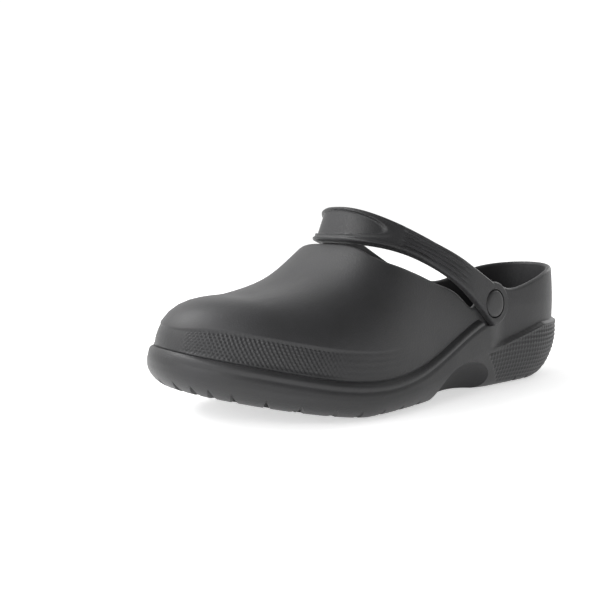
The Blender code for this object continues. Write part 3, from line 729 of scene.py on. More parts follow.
def moulding_rings(upper, line, normal, edge, way):
    """Every ring of the moulding, from the tread's middle up and over the collar to the floor's
    middle."""
    face, lining, face_normal = upper_faces(upper, edge)
    outer = [down_to(np.hstack([face[j], face_normal[j]]), style_line) for j in range(COLUMNS)]
    run = np.array([lengths(path[:, :3])[-1] for path in outer])
    groove = np.array([path[-1] for path in outer])
    sole = side_rings(line, normal, groove, way)
    step = smooth(line[:, 0], STEP_START, STEP_END)
    band = TOE_BAND_AT_TIP + (TOE_BAND - TOE_BAND_AT_TIP) * smooth(way, *TOE_BAND_GROWS)
    band = np.minimum(band, TOE_BAND_SHARE * run)
    climbs = [band * k / TOE_RINGS for k in range(TOE_RINGS)]
    climbs += [band + (run - band) * k / VAMP_RINGS for k in range(VAMP_RINGS + 1)]
    shares = 1 - np.array(climbs) / run
    picked = np.array([resample(path, shares[:, j]) for j, path in enumerate(outer)])
    picked = picked.transpose(1, 0, 2)
    upper_rings = []
    for k, ring in enumerate(picked):
        sunk = toe_relief(k, climbs[k], way, step)
        upper_rings.append(ring[:, :3] - ring[:, 3:] * sunk[:, None])
    rim_line = np.roll(face[:, 0], -1, 0) - np.roll(face[:, 0], 1, 0)
    up = unit(np.cross(face_normal[:, 0], rim_line))
    up = up * np.sign(up[:, 2:])
    middle = (face[:, 0] + lining[:, 0]) / 2
    rim = []
    for angle in np.linspace(0, math.pi, RIM_RINGS + 2)[1:-1]:
        swing = face_normal[:, 0] * math.cos(angle) + up * math.sin(angle)
        rim.append(middle + swing * RIM_WALL / 2)
    inner = [down_to(lining[j], lambda x: floor(x) + FLOOR_CORNER) for j in range(COLUMNS)]
    shares = np.linspace(0, 1, LINING_RINGS)
    lining_rings = np.array([resample(path, shares) for path in inner]).transpose(1, 0, 2)
    foot = lining_rings[-1].copy()
    foot[:, :2] -= normal * FLOOR_CORNER
    foot[:, 2] = floor(foot[:, 0])
    outside = [midline(sole[0], underside), *sole, *upper_rings]
    return [*outside, *rim, *lining_rings, foot, midline(foot, floor)], foot


def place(points):
    """From the tables' millimetres to metres, with the shoe centred over the origin."""
    moved = np.array(points, float)
    moved[..., 0] -= LENGTH / 2
    moved[..., 1] -= SIDE_SHIFT
    return moved * MM


def ring_mesh(rings):
    """A grid bent through the rings, welded at its seam and at drawn-together ends, its open ends
    filled."""
    rings = place(rings)
    columns = rings.shape[1]
    bm = bmesh.new()
    bmesh.ops.create_grid(bm, x_segments=columns, y_segments=len(rings) - 1, size=1.0)
    for vertex in bm.verts:
        column = round((vertex.co.x + 1) / 2 * columns) % columns
        row = round((vertex.co.y + 1) / 2 * (len(rings) - 1))
        vertex.co = rings[row][column]
    bmesh.ops.remove_doubles(bm, verts=bm.verts, dist=WELD)
    open_edges = [edge for edge in bm.edges if edge.is_boundary]
    if open_edges:
        bmesh.ops.holes_fill(bm, edges=open_edges, sides=0)
    bmesh.ops.recalc_face_normals(bm, faces=bm.faces)
    return bm


def wedge(bm, start, end, width, rises):
    """A three-sided bar under the sole from start to end, with its sharp top edge at the given
    rises."""
    start = np.array(start)
    end = np.array(end)
    along = unit(end - start)
    side = np.array([-along[1], along[0]])
    corners = []
    for point, rise in zip((start, end), rises):
        level = float(underside(point[0]))
        wide = width / 2 * (rise + WEDGE_SINK) / rises[0]
        left = (*(point + side * wide), level - WEDGE_SINK)
        right = (*(point - side * wide), level - WEDGE_SINK)
        corners.append((left, right, (*point, level + rise)))
    face = bm.faces.new([bm.verts.new(place(corner)) for corner in corners[0]])
    grown = bmesh.ops.extrude_face_region(bm, geom=[face])["geom"]
    fresh = [item for item in grown if isinstance(item, bmesh.types.BMVert)]
    for vertex in fresh:
        nearest = min(range(3), key=lambda k: (vertex.co - Vector(place(corners[0][k]))).length)
        vertex.co = place(corners[1][nearest])


def tread_cutters(curve):
    """Notches round the edge of the tread, and straight channels between the ones across from each
    other."""
    normals = outward(curve)
    tip = int(np.argmax(curve[:, 0]))
    halves = (np.arange(tip + 1), np.arange(tip, len(curve) + 1) % len(curve))
    notches = bmesh.new()
    channels = bmesh.new()
    stations = []
    for side, half in enumerate((halves[0], halves[1][::-1])):
        run = lengths(curve[half])
        fore = run[-1] - np.array(FORE_NOTCH_WAYS)
        heel = NOTCH_PITCH * np.arange(HEEL_NOTCHES)
        at = np.concatenate([fore, heel])
        spots = np.stack([np.interp(at, run, curve[half][:, k]) for k in (0, 1)], -1)
        facing = unit(np.stack([np.interp(at, run, normals[half][:, k]) for k in (0, 1)], -1))
        stations.append(spots)
        for k, (spot, out) in enumerate(zip(spots, facing)):
            shared_tip = k in (0, FORE_NOTCHES)
            if side == 0 or not shared_tip:
                ends = spot + out * NOTCH_OVERHANG, spot - out * NOTCH_REACH
                wedge(notches, *ends, NOTCH_WIDTH, (NOTCH_RISE, NOTCH_INNER_RISE))
    for outer, inner in zip(*stations):
        if outer[0] < CHANNEL_END and abs(outer[1] - inner[1]) > CHANNEL_SHORTEST:
            wedge(channels, outer, inner, CHANNEL_WIDTH, (CHANNEL_DEPTH, CHANNEL_DEPTH))
    return notches, channels


def scoop_cutter(upper):
    """Two half-sunk egg shapes that hollow the sides of the waist."""
    bm = bmesh.new()
    for side in upper.sides:
        at = float(np.interp(SCOOP_CENTRE, side[:, 0], side[:, 1]))
        at += math.copysign(UPPER_INSET, at)
        made = bmesh.ops.create_uvsphere(
            bm, u_segments=SCOOP_SIDES, v_segments=SCOOP_SIDES // 2, radius=1.0
        )["verts"]
        size = Vector((SCOOP_LENGTH, SCOOP_DEPTH, SCOOP_HEIGHT)) * MM
        bmesh.ops.scale(bm, vec=size, verts=made)
        bmesh.ops.translate(bm, vec=place((SCOOP_CENTRE, at, 0.0)), verts=made)
    return bm


class Pivot:
    """Where a rivet goes through the wall: the point on the wall's outer face and the way out."""

    def __init__(self, upper, side):
        self.name = ("outer", "inner")[side]
        self.sign = 1 - 2 * side

        def wall(x, z):
            line = upper.sides[side]
            base = upper.spine(x)[1]
            limit = np.interp(x, line[:, 0], line[:, 1])
            return float(base + (limit - base) * upper.reach_at(x, z))

        y = wall(PIVOT_X, PIVOT_Z)
        along = wall(PIVOT_X + 1, PIVOT_Z) - wall(PIVOT_X - 1, PIVOT_Z)
        upward = wall(PIVOT_X, PIVOT_Z + 1) - wall(PIVOT_X, PIVOT_Z - 1)
        self.point = np.array([PIVOT_X, y, PIVOT_Z])
        self.out = unit(np.array([-along / 2, 1.0, -upward / 2])) * self.sign
        self.ahead = unit(np.cross(self.out, (0, 0, 1))) * self.sign
        self.upward = np.cross(self.ahead, self.out) * self.sign

    def at(self, out, ahead=0.0, upward=0.0):
        return self.point + self.out * out + self.ahead * ahead + self.upward * upward

    def turn(self):
        return Vector(self.out).to_track_quat("Z", "Y").to_matrix().to_4x4()

    def drum(self, bm, radius, start, end):
        """A cylinder on the pivot's axis from one distance along it to another."""
        middle = Vector(place(self.at((start + end) / 2)))
        bmesh.ops.create_cone(
            bm,
            cap_ends=True,
            segments=ROUND_SIDES,
            radius1=radius * MM,
            radius2=radius * MM,
            depth=(end - start) * MM,
            matrix=Matrix.Translation(middle) @ self.turn(),
        )


def strap_edge(sizes, angle):
    """A point of one of the strap's edges: a squared arc in plan that climbs towards the instep."""
    forward = abs(math.cos(angle)) ** (2 / sizes["power"])
    across = math.copysign(abs(math.sin(angle)) ** (2 / sizes["power"]), angle)
    width = sizes["outer"] if angle > 0 else sizes["inner"]
    return np.array(
        [
            PIVOT_X + sizes["reach"] * forward,
            STRAP_MIDDLE + width * across,
            sizes["foot"] + sizes["rise"] * forward + sizes["bow"] * forward**2,
        ]
    )


def strap_frames(pivots):
    """Lower edge, upper edge, outward direction and signed way from the middle of each section."""
    sections = []
    for angle in np.linspace(math.pi / 2, -math.pi / 2, 4 * STRAP_STATIONS + 1):
        pivot = pivots[0] if angle > 0 else pivots[1]
        pair = []
        for sizes in (STRAP_LOWER, STRAP_UPPER):
            point = strap_edge(sizes, angle)
            forward = (point[0] - PIVOT_X) / sizes["reach"]
            flat = 1 - smooth(forward, STRAP_FLAT_END, STRAP_FREE)
            off = np.dot(point - pivot.point, pivot.out) - STRAP_FACE
            pair.append(point - pivot.out * off * flat)
        sections.append(pair)
    sections = np.array(sections)
    run = lengths(sections.mean(axis=1))
    middle = np.interp(0.5, np.linspace(0, 1, len(run)), run)
    at = np.linspace(0, run[-1], STRAP_STATIONS)
    flat = sections.reshape(len(run), 6)
    flat = np.stack([np.interp(at, run, flat[:, k]) for k in range(6)], -1)
    ends = []
    for pivot in pivots:
        fan = []
        for k in range(1, STRAP_END_STATIONS + 1):
            angle = STRAP_END_TURN * k / STRAP_END_STATIONS
            half = STRAP_END_RADIUS * math.cos(angle)
            back = -STRAP_END_RADIUS * math.sin(angle)
            fan.append([pivot.at(STRAP_FACE, back, -half), pivot.at(STRAP_FACE, back, half)])
        ends.append(np.array(fan))
    sections = np.concatenate([ends[0][::-1], flat.reshape(-1, 2, 3), ends[1]])
    centre = sections.mean(axis=1)
    along = np.gradient(centre, axis=0)
    out = unit(np.cross(sections[:, 1] - sections[:, 0], along))
    way = lengths(centre) - lengths(centre)[STRAP_END_STATIONS] - middle
    return sections[:, 0], sections[:, 1], out, way


def strap_section(width):
    """Points round the strap's section as (across, depth), from the lower edge over the face and
    back."""
    points = []
    outer = min(STRAP_CORNER, width / STRAP_NARROW)
    inner = min(STRAP_INNER_CORNER, width / STRAP_NARROW)
    quarter = np.linspace(0, math.pi / 2, CORNER_POINTS)
    points += [(outer * (1 - math.cos(a)), outer * (1 - math.sin(a))) for a in quarter]
    points += [(w, 0.0) for w in np.linspace(outer, width - outer, FACE_POINTS)[1:-1]]
    points += [(width - outer * (1 - math.sin(a)), outer * (1 - math.cos(a))) for a in quarter]
    deep = STRAP_THICKNESS - inner
    points += [(width - inner * (1 - math.cos(a)), deep + inner * math.sin(a)) for a in quarter]
    points += [(w, STRAP_THICKNESS) for w in np.linspace(width - inner, inner, BACK_POINTS)[1:-1]]
    points += [(inner * (1 - math.sin(a)), deep + inner * math.cos(a)) for a in quarter]
    return np.array(points)


def strap_relief(across, width, way):
    """How far the strap's face stands out: pad, blank oval with its ridge, borders, ribs and their
    grooves."""
    far = abs(way)
    share = across / width
    pad = 1 - smooth(far, *PAD_END)
    ring = np.hypot(way / OVAL_HALF_LENGTH, (across - OVAL_CENTRE * width) / OVAL_HALF_WIDTH)
    oval = OVAL_RIDGE[0] * bump((ring - 1) * OVAL_HALF_WIDTH, 0.0, OVAL_RIDGE[1])
    oval = oval - OVAL_DISH * (1 - smooth(ring, *OVAL_WALL))
    border = BORDER["height"] * bump(across, BORDER["place"], BORDER["width"])
    border = border * (1 - smooth(far, *BORDER["end"]))
    flare = FLARE["height"] * bump(far, FLARE["place"], FLARE["length"])
    flare = flare * (1 - smooth(across, 0.0, FLARE["width"]))
    grooves = sum(
        1 - smooth(abs(share - place), RIB_GROOVE_HALF * RIB_GROOVE_FLOOR, RIB_GROOVE_HALF)
        for place in RIB_GROOVES
    )
    grooves = grooves * smooth(far, *RIB_GROOVE_START) * (1 - smooth(far, *RIB_GROOVE_END))
    edge_line = EDGE_LINE["height"] * bump(width - across, EDGE_LINE["place"], EDGE_LINE["width"])
    edge_line = edge_line * smooth(far, *PAD_END) * (1 - smooth(far, *RIB_GROOVE_END))
    return pad * (PAD_RISE + oval) + border + flare + edge_line - RIB_GROOVE_DEPTH * grooves


def add_object(name, bm, finish=None):
    """A named object of a bmesh at the origin, smooth but for its sharp edges; no finish makes a
    cutter."""
    mesh = bpy.data.meshes.new(name)
    bmesh.ops.recalc_face_normals(bm, faces=bm.faces)
    bm.to_mesh(mesh)
    bm.free()
    thing = bpy.data.objects.new(name, mesh)
    bpy.context.scene.collection.objects.link(thing)
    if finish is None:
        thing.display_type = "WIRE"
        thing.hide_render = True
        return thing
    mesh.materials.append(finish)
    mesh.shade_smooth()
    return thing


def carve(thing, cutters, angle):
    """Cuts each cutter out of the piece for good, and keeps the cut edges sharp."""
    for cutter in cutters:
        modifier = thing.modifiers.new(cutter.name, "BOOLEAN")
        modifier.operation = "DIFFERENCE"
        modifier.solver = "EXACT"
        modifier.object = cutter
    seen = thing.evaluated_get(bpy.context.evaluated_depsgraph_get())
    mesh = bpy.data.meshes.new_from_object(seen)
    thing.modifiers.clear()
    old = thing.data
    thing.data = mesh
    mesh.name = thing.name
    bpy.data.meshes.remove(old)
    for cutter in cutters:
        data = cutter.data
        bpy.data.objects.remove(cutter)
        bpy.data.meshes.remove(data)
    mesh.shade_smooth()
    mesh.set_sharp_from_angle(angle=angle)


def add_node(tree, kind, settings=None, **links):
    """Adds a node with its settings; each link is a socket's name with underscores, and a value or
    output."""
    node = tree.nodes.new(kind)
    for key, value in (settings or {}).items():
        setattr(node, key, value)
    for key, value in links.items():
        socket = node.inputs[key.replace("_", " ")]
        if isinstance(value, bpy.types.NodeSocket):
            tree.links.new(value, socket)
        else:
            socket.default_value = value
    return node


def new_material(name):
    """A material with its Principled shader, and Object coordinates to lay patterns with."""
    made = bpy.data.materials.new(name)
    made.use_nodes = True
    tree = made.node_tree
    shader = tree.nodes["Principled BSDF"]
    coordinates = add_node(tree, "ShaderNodeTexCoord").outputs["Object"]
    return made, tree, shader, coordinates


def per_metre(size_mm):
    """Scale of a noise or cell pattern whose features are size_mm across."""
    return 1000.0 / size_mm


def moulded_foam(name, look):
    """Injection-moulded EVA foam: closed skin with a fine spark-eroded grain, faint flow clouding,
    soft sheen."""
    made, tree, shader, where = new_material(name)
    clouds = add_node(
        tree,
        "ShaderNodeTexNoise",
        Vector=where,
        Scale=per_metre(look.cloud_mm),
        Detail=3.0,
        Roughness=0.55,
    )
    grain = add_node(
        tree,
        "ShaderNodeTexNoise",
        Vector=where,
        Scale=per_metre(look.grain_mm),
        Detail=2.0,
        Roughness=0.6,
    )
    pit_scale = per_metre(look.grain_mm * PIT_TO_GRAIN)
    cells = add_node(tree, "ShaderNodeTexVoronoi", Vector=where, Scale=pit_scale)
    tint = add_node(
        tree,
        "ShaderNodeMix",
        {"data_type": "RGBA"},
        Factor=add_node(
            tree,
            "ShaderNodeMapRange",
            Value=clouds.outputs["Fac"],
            From_Min=0.3,
            From_Max=0.7,
        ).outputs["Result"],
    )
    tint.inputs[FIRST_COLOUR].default_value = (*look.colour, 1.0)
    tint.inputs[SECOND_COLOUR].default_value = (*look.cloud_colour, 1.0)
    tree.links.new(tint.outputs[MIXED_COLOUR], shader.inputs["Base Color"])
    gloss = add_node(
        tree,
        "ShaderNodeMapRange",
        Value=clouds.outputs["Fac"],
        From_Min=0.25,
        From_Max=0.75,
        To_Min=look.roughness - 0.04,
        To_Max=look.roughness + 0.05,
    )
    tree.links.new(gloss.outputs["Result"], shader.inputs["Roughness"])
    pits = add_node(
        tree,
        "ShaderNodeBump",
        Height=cells.outputs["Distance"],
        Strength=look.grain_strength * 0.6,
        Distance=PIT_DEPTH * MM,
    )
    skin = add_node(
        tree,
        "ShaderNodeBump",
        Height=grain.outputs["Fac"],
        Strength=look.grain_strength,
        Distance=GRAIN_DEPTH * MM,
        Normal=pits.outputs["Normal"],
    )
    sag = add_node(
        tree,
        "ShaderNodeBump",
        Height=clouds.outputs["Fac"],
        Strength=0.25,
        Distance=SAG_DEPTH * MM,
        Normal=skin.outputs["Normal"],
    )
    tree.links.new(sag.outputs["Normal"], shader.inputs["Normal"])
    shader.inputs["IOR"].default_value = 1.48
    shader.inputs["Sheen Weight"].default_value = look.sheen
    shader.inputs["Sheen Roughness"].default_value = 0.5
    return made


def footbed_foam(look):
    """Die-cut foam sheet with a brushed skin: matt, finely pitted, a little cloudier than the
    moulding."""
    made, tree, shader, where = new_material("Die_Cut_Footbed_Foam")
    nap = add_node(
        tree,
        "ShaderNodeTexNoise",
        Vector=where,
        Scale=per_metre(NAP_SIZE),
        Detail=4.0,
        Roughness=0.7,
    )
    pores = add_node(tree, "ShaderNodeTexVoronoi", Vector=where, Scale=per_metre(PORE_SIZE))
    tint = add_node(tree, "ShaderNodeMix", {"data_type": "RGBA"}, Factor=nap.outputs["Fac"])
    tint.inputs[FIRST_COLOUR].default_value = (*look.footbed_colour, 1.0)
    tint.inputs[SECOND_COLOUR].default_value = (*look.footbed_fleck, 1.0)
    tree.links.new(tint.outputs[MIXED_COLOUR], shader.inputs["Base Color"])
    rough = add_node(
        tree, "ShaderNodeBump", Height=nap.outputs["Fac"], Strength=0.4, Distance=NAP_DEPTH * MM
    )
    pitted = add_node(
        tree,
        "ShaderNodeBump",
        Height=pores.outputs["Distance"],
        Strength=0.5,
        Distance=PORE_DEPTH * MM,
        Normal=rough.outputs["Normal"],
    )
    tree.links.new(pitted.outputs["Normal"], shader.inputs["Normal"])
    shader.inputs["Roughness"].default_value = 0.9
    shader.inputs["IOR"].default_value = 1.48
    return made


def moulded_nylon(look):
    """Injection-moulded nylon: harder and a touch glossier than the foam, with a fine erosion
    grain."""
    made, tree, shader, where = new_material("Moulded_Nylon")
    grain = add_node(
        tree,
        "ShaderNodeTexNoise",
        Vector=where,
        Scale=per_metre(NYLON_GRAIN_SIZE),
        Detail=3.0,
        Roughness=0.6,
    )
    tint = add_node(tree, "ShaderNodeMix", {"data_type": "RGBA"}, Factor=grain.outputs["Fac"])
    tint.inputs[FIRST_COLOUR].default_value = (*look.nylon_colour, 1.0)
    tint.inputs[SECOND_COLOUR].default_value = (*look.nylon_fleck, 1.0)
    tree.links.new(tint.outputs[MIXED_COLOUR], shader.inputs["Base Color"])
    skin = add_node(
        tree,
        "ShaderNodeBump",
        Height=grain.outputs["Fac"],
        Strength=0.35,
        Distance=GRAIN_DEPTH * MM,
    )
    tree.links.new(skin.outputs["Normal"], shader.inputs["Normal"])
    shader.inputs["Roughness"].default_value = 0.48
    shader.inputs["IOR"].default_value = 1.53
    return made


def colour_property(name, description, hex_colour):
    return FloatVectorProperty(
        name=name,
        description=description,
        default=linear(hex_colour),
        size=3,
        subtype="COLOR",
        min=0.0,
        max=1.0,
    )


class ClogFoamSettings(bpy.types.PropertyGroup):
    colour: colour_property("Foam", "Colour of the moulded foam", "#1d1d1e")
    cloud_colour: colour_property("Clouding", "Lighter colour of the flow clouding", "#222224")
    roughness: FloatProperty(
        name="Roughness",
        description="Roughness of the foam's skin",
        default=0.5,
        min=0.1,
        max=1.0,
        subtype="FACTOR",
    )
    sheen: FloatProperty(
        name="Sheen",
        description="Soft sheen of the foam at grazing angles",
        default=0.08,
        min=0.0,
        max=1.0,
        subtype="FACTOR",
    )
    grain_mm: FloatProperty(
        name="Grain",
        description="Size of the skin's grain in millimetres",
        default=0.7,
        min=0.2,
        max=3.0,
    )
    grain_strength: FloatProperty(
        name="Grain strength",
        description="How strong the skin's grain is",
        default=0.28,
        min=0.0,
        max=1.0,
        subtype="FACTOR",
    )
    cloud_mm: FloatProperty(
        name="Clouding size",
        description="Size of the flow clouding in millimetres",
        default=26.0,
        min=5.0,
        max=100.0,
    )


class ClogTrimSettings(bpy.types.PropertyGroup):
    footbed_colour: colour_property("Footbed", "Colour of the loose footbed", "#1c1c1d")
    footbed_fleck: colour_property("Footbed fleck", "Lighter colour in its nap", "#262627")
    nylon_colour: colour_property("Rivet", "Colour of the nylon rivets", "#242425")
    nylon_fleck: colour_property("Rivet fleck", "Lighter colour in the rivets' grain", "#2a2a2b")


class ClogStageSettings(bpy.types.PropertyGroup):
    floor_colour: colour_property("Floor", "Colour of the plain floor", "#f4f4f4")
    world_strength: FloatProperty(
        name="Dome",
        description="Strength of the white dome round the shoe",
        default=1.05,
        min=0.0,
        max=4.0,
    )
    dark_share: FloatProperty(
        name="Dark side",
        description="Share of the dome's light on its darker side",
        default=0.26,
        min=0.0,
        max=1.0,
    )
    floor_glow: FloatProperty(
        name="Floor glow",
        description="Light the white floor gives off itself",
        default=0.56,
        min=0.0,
        max=1.0,
    )
    key_power: FloatProperty(
        name="Key light",
        description="Power of the soft light over the toe",
        default=12.5,
        min=0.0,
        max=200.0,
        unit="POWER",
    )
    toe_power: FloatProperty(
        name="Toe lamp",
        description="Power of the small lamp by the toe",
        default=0.8,
        min=0.0,
        max=20.0,
        unit="POWER",
    )
    floor_size: FloatProperty(
        name="Floor size",
        description="Side of the floor",
        default=8.0,
        min=1.0,
        max=40.0,
        unit="LENGTH",
    )


def shapes():
    """The outline, the upper and the rivets' pivots, from which every piece is worked out."""
    curve, line, normal, edge, way = outline()
    upper = Upper(curve)
    return curve, line, normal, edge, way, upper, [Pivot(upper, 0), Pivot(upper, 1)]


class CLOG_OT_moulding(bpy.types.Operator):
    """Build the hollow foam moulding with its sole, tread, bead, toe grip and heel pips"""

    bl_idname = "clog.moulding"
    bl_label = "Foam Moulding"

    def execute(self, context):
        curve, line, normal, edge, way, upper, pivots = shapes()
        rings, _ = moulding_rings(upper, line, normal, edge, way)
        foam = moulded_foam("Moulded_EVA_Foam", context.scene.clog_foam)
        body = add_object("foam_moulding", ring_mesh(rings), foam)
        seats = bmesh.new()
        holes = bmesh.new()
        for pivot in pivots:
            pivot.drum(seats, SEAT_RADIUS, -SEAT_DEPTH, PIVOT_CLEAR)
            pivot.drum(holes, PIN_RADIUS + GAP, -PIVOT_CLEAR, PIVOT_CLEAR)
        notches, channels = tread_cutters(curve)
        cutters = {
            "notch_cutter": notches,
            "channel_cutter": channels,
            "scoop_cutter": scoop_cutter(upper),
            "seat_cutter": seats,
            "hole_cutter": holes,
        }
        carve(body, [add_object(name, bm) for name, bm in cutters.items()], SHARP_ANGLE)
        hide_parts("clog_body")
        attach(body, "root")
        return {"FINISHED"}


class CLOG_OT_strap(bpy.types.Operator):
    """Build the heel strap with its pad, blank oval, ribs and round ends"""

    bl_idname = "clog.strap"
    bl_label = "Heel Strap"

    def execute(self, context):
        pivots = shapes()[-1]
        rings = []
        for low, high, away, way in zip(*strap_frames(pivots)):
            across = high - low
            width = float(np.linalg.norm(across))
            section = strap_section(width)
            lift = strap_relief(section[:, 0], width, way)
            lift = lift * (1 - smooth(section[:, 1], *LIFT_FADE))
            depth = section[:, 1] - lift
            rings.append(low + across * (section[:, :1] / width) - away * depth[:, None])
        foam = moulded_foam("Moulded_EVA_Strap_Foam", context.scene.clog_foam)
        strap = add_object("swing_strap", ring_mesh(rings), foam)
        holes = bmesh.new()
        wells = bmesh.new()
        for pivot in pivots:
            pivot.drum(holes, PIN_RADIUS + GAP, -PIVOT_CLEAR, PIVOT_CLEAR)
            pivot.drum(wells, BUTTON_WELL_RADIUS, STRAP_FACE - BUTTON_WELL_DEPTH, PIVOT_CLEAR)
        cutters = {"well_cutter": wells, "pin_hole_cutter": holes}
        carve(strap, [add_object(name, bm) for name, bm in cutters.items()], SHARP_ANGLE)
        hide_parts("heel_strap")
        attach(strap, "root")
        return {"FINISHED"}


class CLOG_OT_footbed(bpy.types.Operator):
    """Build the loose footbed on the cavity's floor"""

    bl_idname = "clog.footbed"
    bl_label = "Footbed"

    def execute(self, context):
        _, line, normal, edge, way, upper, _ = shapes()
        _, foot = moulding_rings(upper, line, normal, edge, way)

        def ring(inset, rise):
            points = foot.copy()
            points[:, :2] -= normal * inset
            points[:, 2] = floor(points[:, 0]) + rise
            return points

        bottom = ring(INSOLE_EDGE, GAP)
        middle = midline(bottom, lambda x: floor(x) + GAP)
        rings = [middle, bottom]
        for turn in np.linspace(0, math.pi, BED_EDGE_RINGS)[1:-1]:
            out = INSOLE_EDGE - INSOLE_SPREAD * math.sin(turn)
            rings.append(ring(out, GAP + INSOLE_THICKNESS * (0.5 - 0.5 * math.cos(turn))))
        rim = ring(INSOLE_EDGE, GAP + INSOLE_THICKNESS)
        for share in np.linspace(0, 1, BED_TOP_RINGS):
            inward = rim + (middle - rim) * share
            inward[:, 2] = floor(inward[:, 0]) + GAP + INSOLE_THICKNESS
            rings.append(inward)
        bed = add_object("footbed", ring_mesh(rings), footbed_foam(context.scene.clog_trim))
        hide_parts("insole")
        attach(bed, "root")
        return {"FINISHED"}


class CLOG_OT_rivets(bpy.types.Operator):
    """Turn the two push-in rivets, each a button, a pin and the flange inside the shoe"""

    bl_idname = "clog.rivets"
    bl_label = "Rivets"

    def execute(self, context):
        nylon = moulded_nylon(context.scene.clog_trim)
        well = STRAP_FACE - BUTTON_WELL_DEPTH + GAP
        crown = STRAP_FACE + BUTTON_RISE
        inner = -WALL - FLANGE_GAP
        profile = (
            (0.0, crown),
            *((BUTTON_RADIUS - inset, crown - drop) for inset, drop in BUTTON_EDGE),
            (BUTTON_RADIUS, well),
            (PIN_RADIUS, well),
            (PIN_RADIUS, inner),
            *((FLANGE_RADIUS - inset, inner - drop) for inset, drop in FLANGE_EDGE),
            (0.0, inner - FLANGE_EDGE[-1][1]),
        )
        for pivot in shapes()[-1]:
            bm = bmesh.new()
            vertices = [bm.verts.new((radius * MM, 0.0, height * MM)) for radius, height in profile]
            edges = [bm.edges.new(pair) for pair in zip(vertices, vertices[1:])]
            bmesh.ops.spin(
                bm,
                geom=vertices + edges,
                cent=(0, 0, 0),
                axis=(0, 0, 1),
                angle=2 * math.pi,
                steps=ROUND_SIDES,
                use_merge=True,
            )
            bmesh.ops.remove_doubles(bm, verts=bm.verts, dist=WELD)
            spot = Matrix.Translation(place(pivot.point)) @ pivot.turn()
            bmesh.ops.transform(bm, matrix=spot, verts=bm.verts)
            rivet = add_object("push_rivet_" + pivot.name, bm, nylon)
            rivet.data.set_sharp_from_angle(angle=RIVET_SHARP_ANGLE)
            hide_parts("rivet_" + pivot.name)
            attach(rivet, "root")
        return {"FINISHED"}


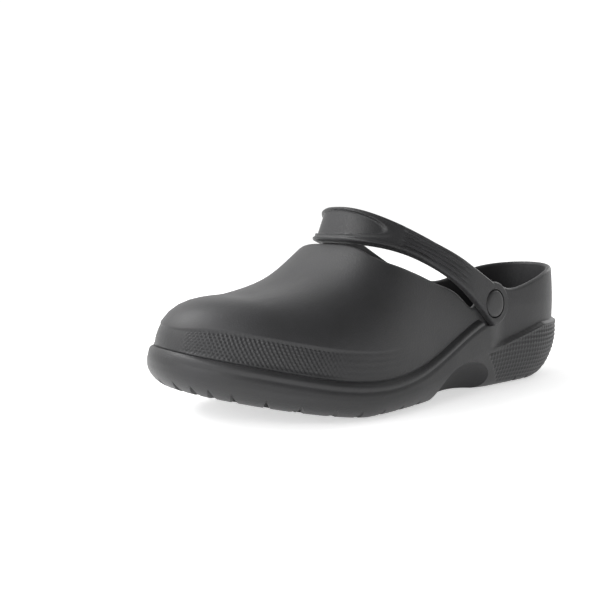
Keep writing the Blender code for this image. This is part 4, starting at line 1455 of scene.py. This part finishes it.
class CLOG_OT_stage(bpy.types.Operator):
    """Set the plain floor, the soft studio light and the camera"""

    bl_idname = "clog.stage"
    bl_label = "Studio"

    def execute(self, context):
        look = context.scene.clog_stage
        bm = bmesh.new()
        bmesh.ops.create_grid(bm, x_segments=1, y_segments=1, size=look.floor_size / 2)
        paper, tree, shader, where = new_material("Matt_Studio_Paper")
        clouds = add_node(
            tree,
            "ShaderNodeTexNoise",
            Vector=where,
            Scale=per_metre(PAPER_CLOUD_SIZE),
            Detail=2.0,
        )
        tint = add_node(tree, "ShaderNodeMix", {"data_type": "RGBA"}, Factor=clouds.outputs["Fac"])
        tint.inputs[FIRST_COLOUR].default_value = (*look.floor_colour, 1.0)
        tint.inputs[SECOND_COLOUR].default_value = (*linear("#f7f7f7"), 1.0)
        tree.links.new(tint.outputs[MIXED_COLOUR], shader.inputs["Base Color"])
        shader.inputs["Roughness"].default_value = 0.95
        shader.inputs["Specular IOR Level"].default_value = 0.1
        shader.inputs["Emission Color"].default_value = (1.0, 1.0, 1.0, 1.0)
        shader.inputs["Emission Strength"].default_value = look.floor_glow
        studio_floor = add_object("studio_floor", bm, paper)

        world = bpy.data.worlds.new("White_Dome")
        world.use_nodes = True
        dome = world.node_tree
        sky = dome.nodes["Background"]
        sky.inputs["Color"].default_value = (1.0, 1.0, 1.0, 1.0)
        facing = add_node(dome, "ShaderNodeVectorMath", {"operation": "DOT_PRODUCT"})
        dome.links.new(add_node(dome, "ShaderNodeTexCoord").outputs["Generated"], facing.inputs[0])
        facing.inputs[1].default_value = unit(np.array(DARK_SIDE))
        fade = add_node(
            dome,
            "ShaderNodeMapRange",
            {"interpolation_type": "SMOOTHSTEP"},
            Value=facing.outputs["Value"],
            From_Min=DARK_FADE[0],
            From_Max=DARK_FADE[1],
            To_Min=look.world_strength,
            To_Max=look.world_strength * look.dark_share,
        )
        rays = add_node(dome, "ShaderNodeLightPath")
        shown = add_node(
            dome,
            "ShaderNodeMix",
            Factor=rays.outputs["Is Camera Ray"],
            A=fade.outputs["Result"],
        )
        shown.inputs["B"].default_value = look.world_strength
        dome.links.new(shown.outputs["Result"], sky.inputs["Strength"])
        context.scene.world = world
        context.scene.view_settings.view_transform = "Standard"

        for name, spot, aim, size, setting, share in LAMPS:
            data = bpy.data.lights.new(name, "AREA")
            data.shape = "SQUARE"
            data.size = size
            data.energy = getattr(look, setting) * share
            lamp = bpy.data.objects.new(name, data)
            context.scene.collection.objects.link(lamp)
            lamp.location = spot
            lamp.rotation_euler = (Vector(aim) - Vector(spot)).to_track_quat("-Z", "Y").to_euler()

        data = bpy.data.cameras.new("Photo_Camera")
        data.sensor_width = SENSOR
        data.lens = CAMERA_LENS
        camera = bpy.data.objects.new("Photo_Camera", data)
        context.scene.collection.objects.link(camera)
        camera.location = CAMERA_PLACE
        camera.rotation_euler = Vector(CAMERA_ALONG).to_track_quat("-Z", "Y").to_euler()
        context.scene.camera = camera
        return {"FINISHED"}


class CLOG_PT_pieces(bpy.types.Panel):
    """Lists the clog's pieces and the looks that can be changed"""

    bl_idname = "CLOG_PT_pieces"
    bl_label = "Chef Clog"
    bl_space_type = "VIEW_3D"
    bl_region_type = "UI"
    bl_category = "Clog"

    def draw(self, context):
        for operator in OPERATORS:
            self.layout.operator(operator.bl_idname)
        for group in SETTINGS:
            looks = getattr(context.scene, group)
            for name in looks.bl_rna.properties.keys():
                if name not in ("rna_type", "name"):
                    self.layout.prop(looks, name)


OPERATORS = (CLOG_OT_moulding, CLOG_OT_strap, CLOG_OT_footbed, CLOG_OT_rivets, CLOG_OT_stage)
SETTINGS = {
    "clog_foam": ClogFoamSettings,
    "clog_trim": ClogTrimSettings,
    "clog_stage": ClogStageSettings,
}


def register():
    for kind in (*SETTINGS.values(), *OPERATORS, CLOG_PT_pieces):
        bpy.utils.register_class(kind)
    for group, kind in SETTINGS.items():
        setattr(bpy.types.Scene, group, PointerProperty(type=kind))


def unregister():
    for group in SETTINGS:
        delattr(bpy.types.Scene, group)
    for kind in reversed((*SETTINGS.values(), *OPERATORS, CLOG_PT_pieces)):
        bpy.utils.unregister_class(kind)


def main():
    register()
    bpy.ops.clog.moulding()
    bpy.ops.clog.strap()
    bpy.ops.clog.footbed()
    bpy.ops.clog.rivets()
    bpy.ops.clog.stage()


if __name__ == "__main__":
    main()
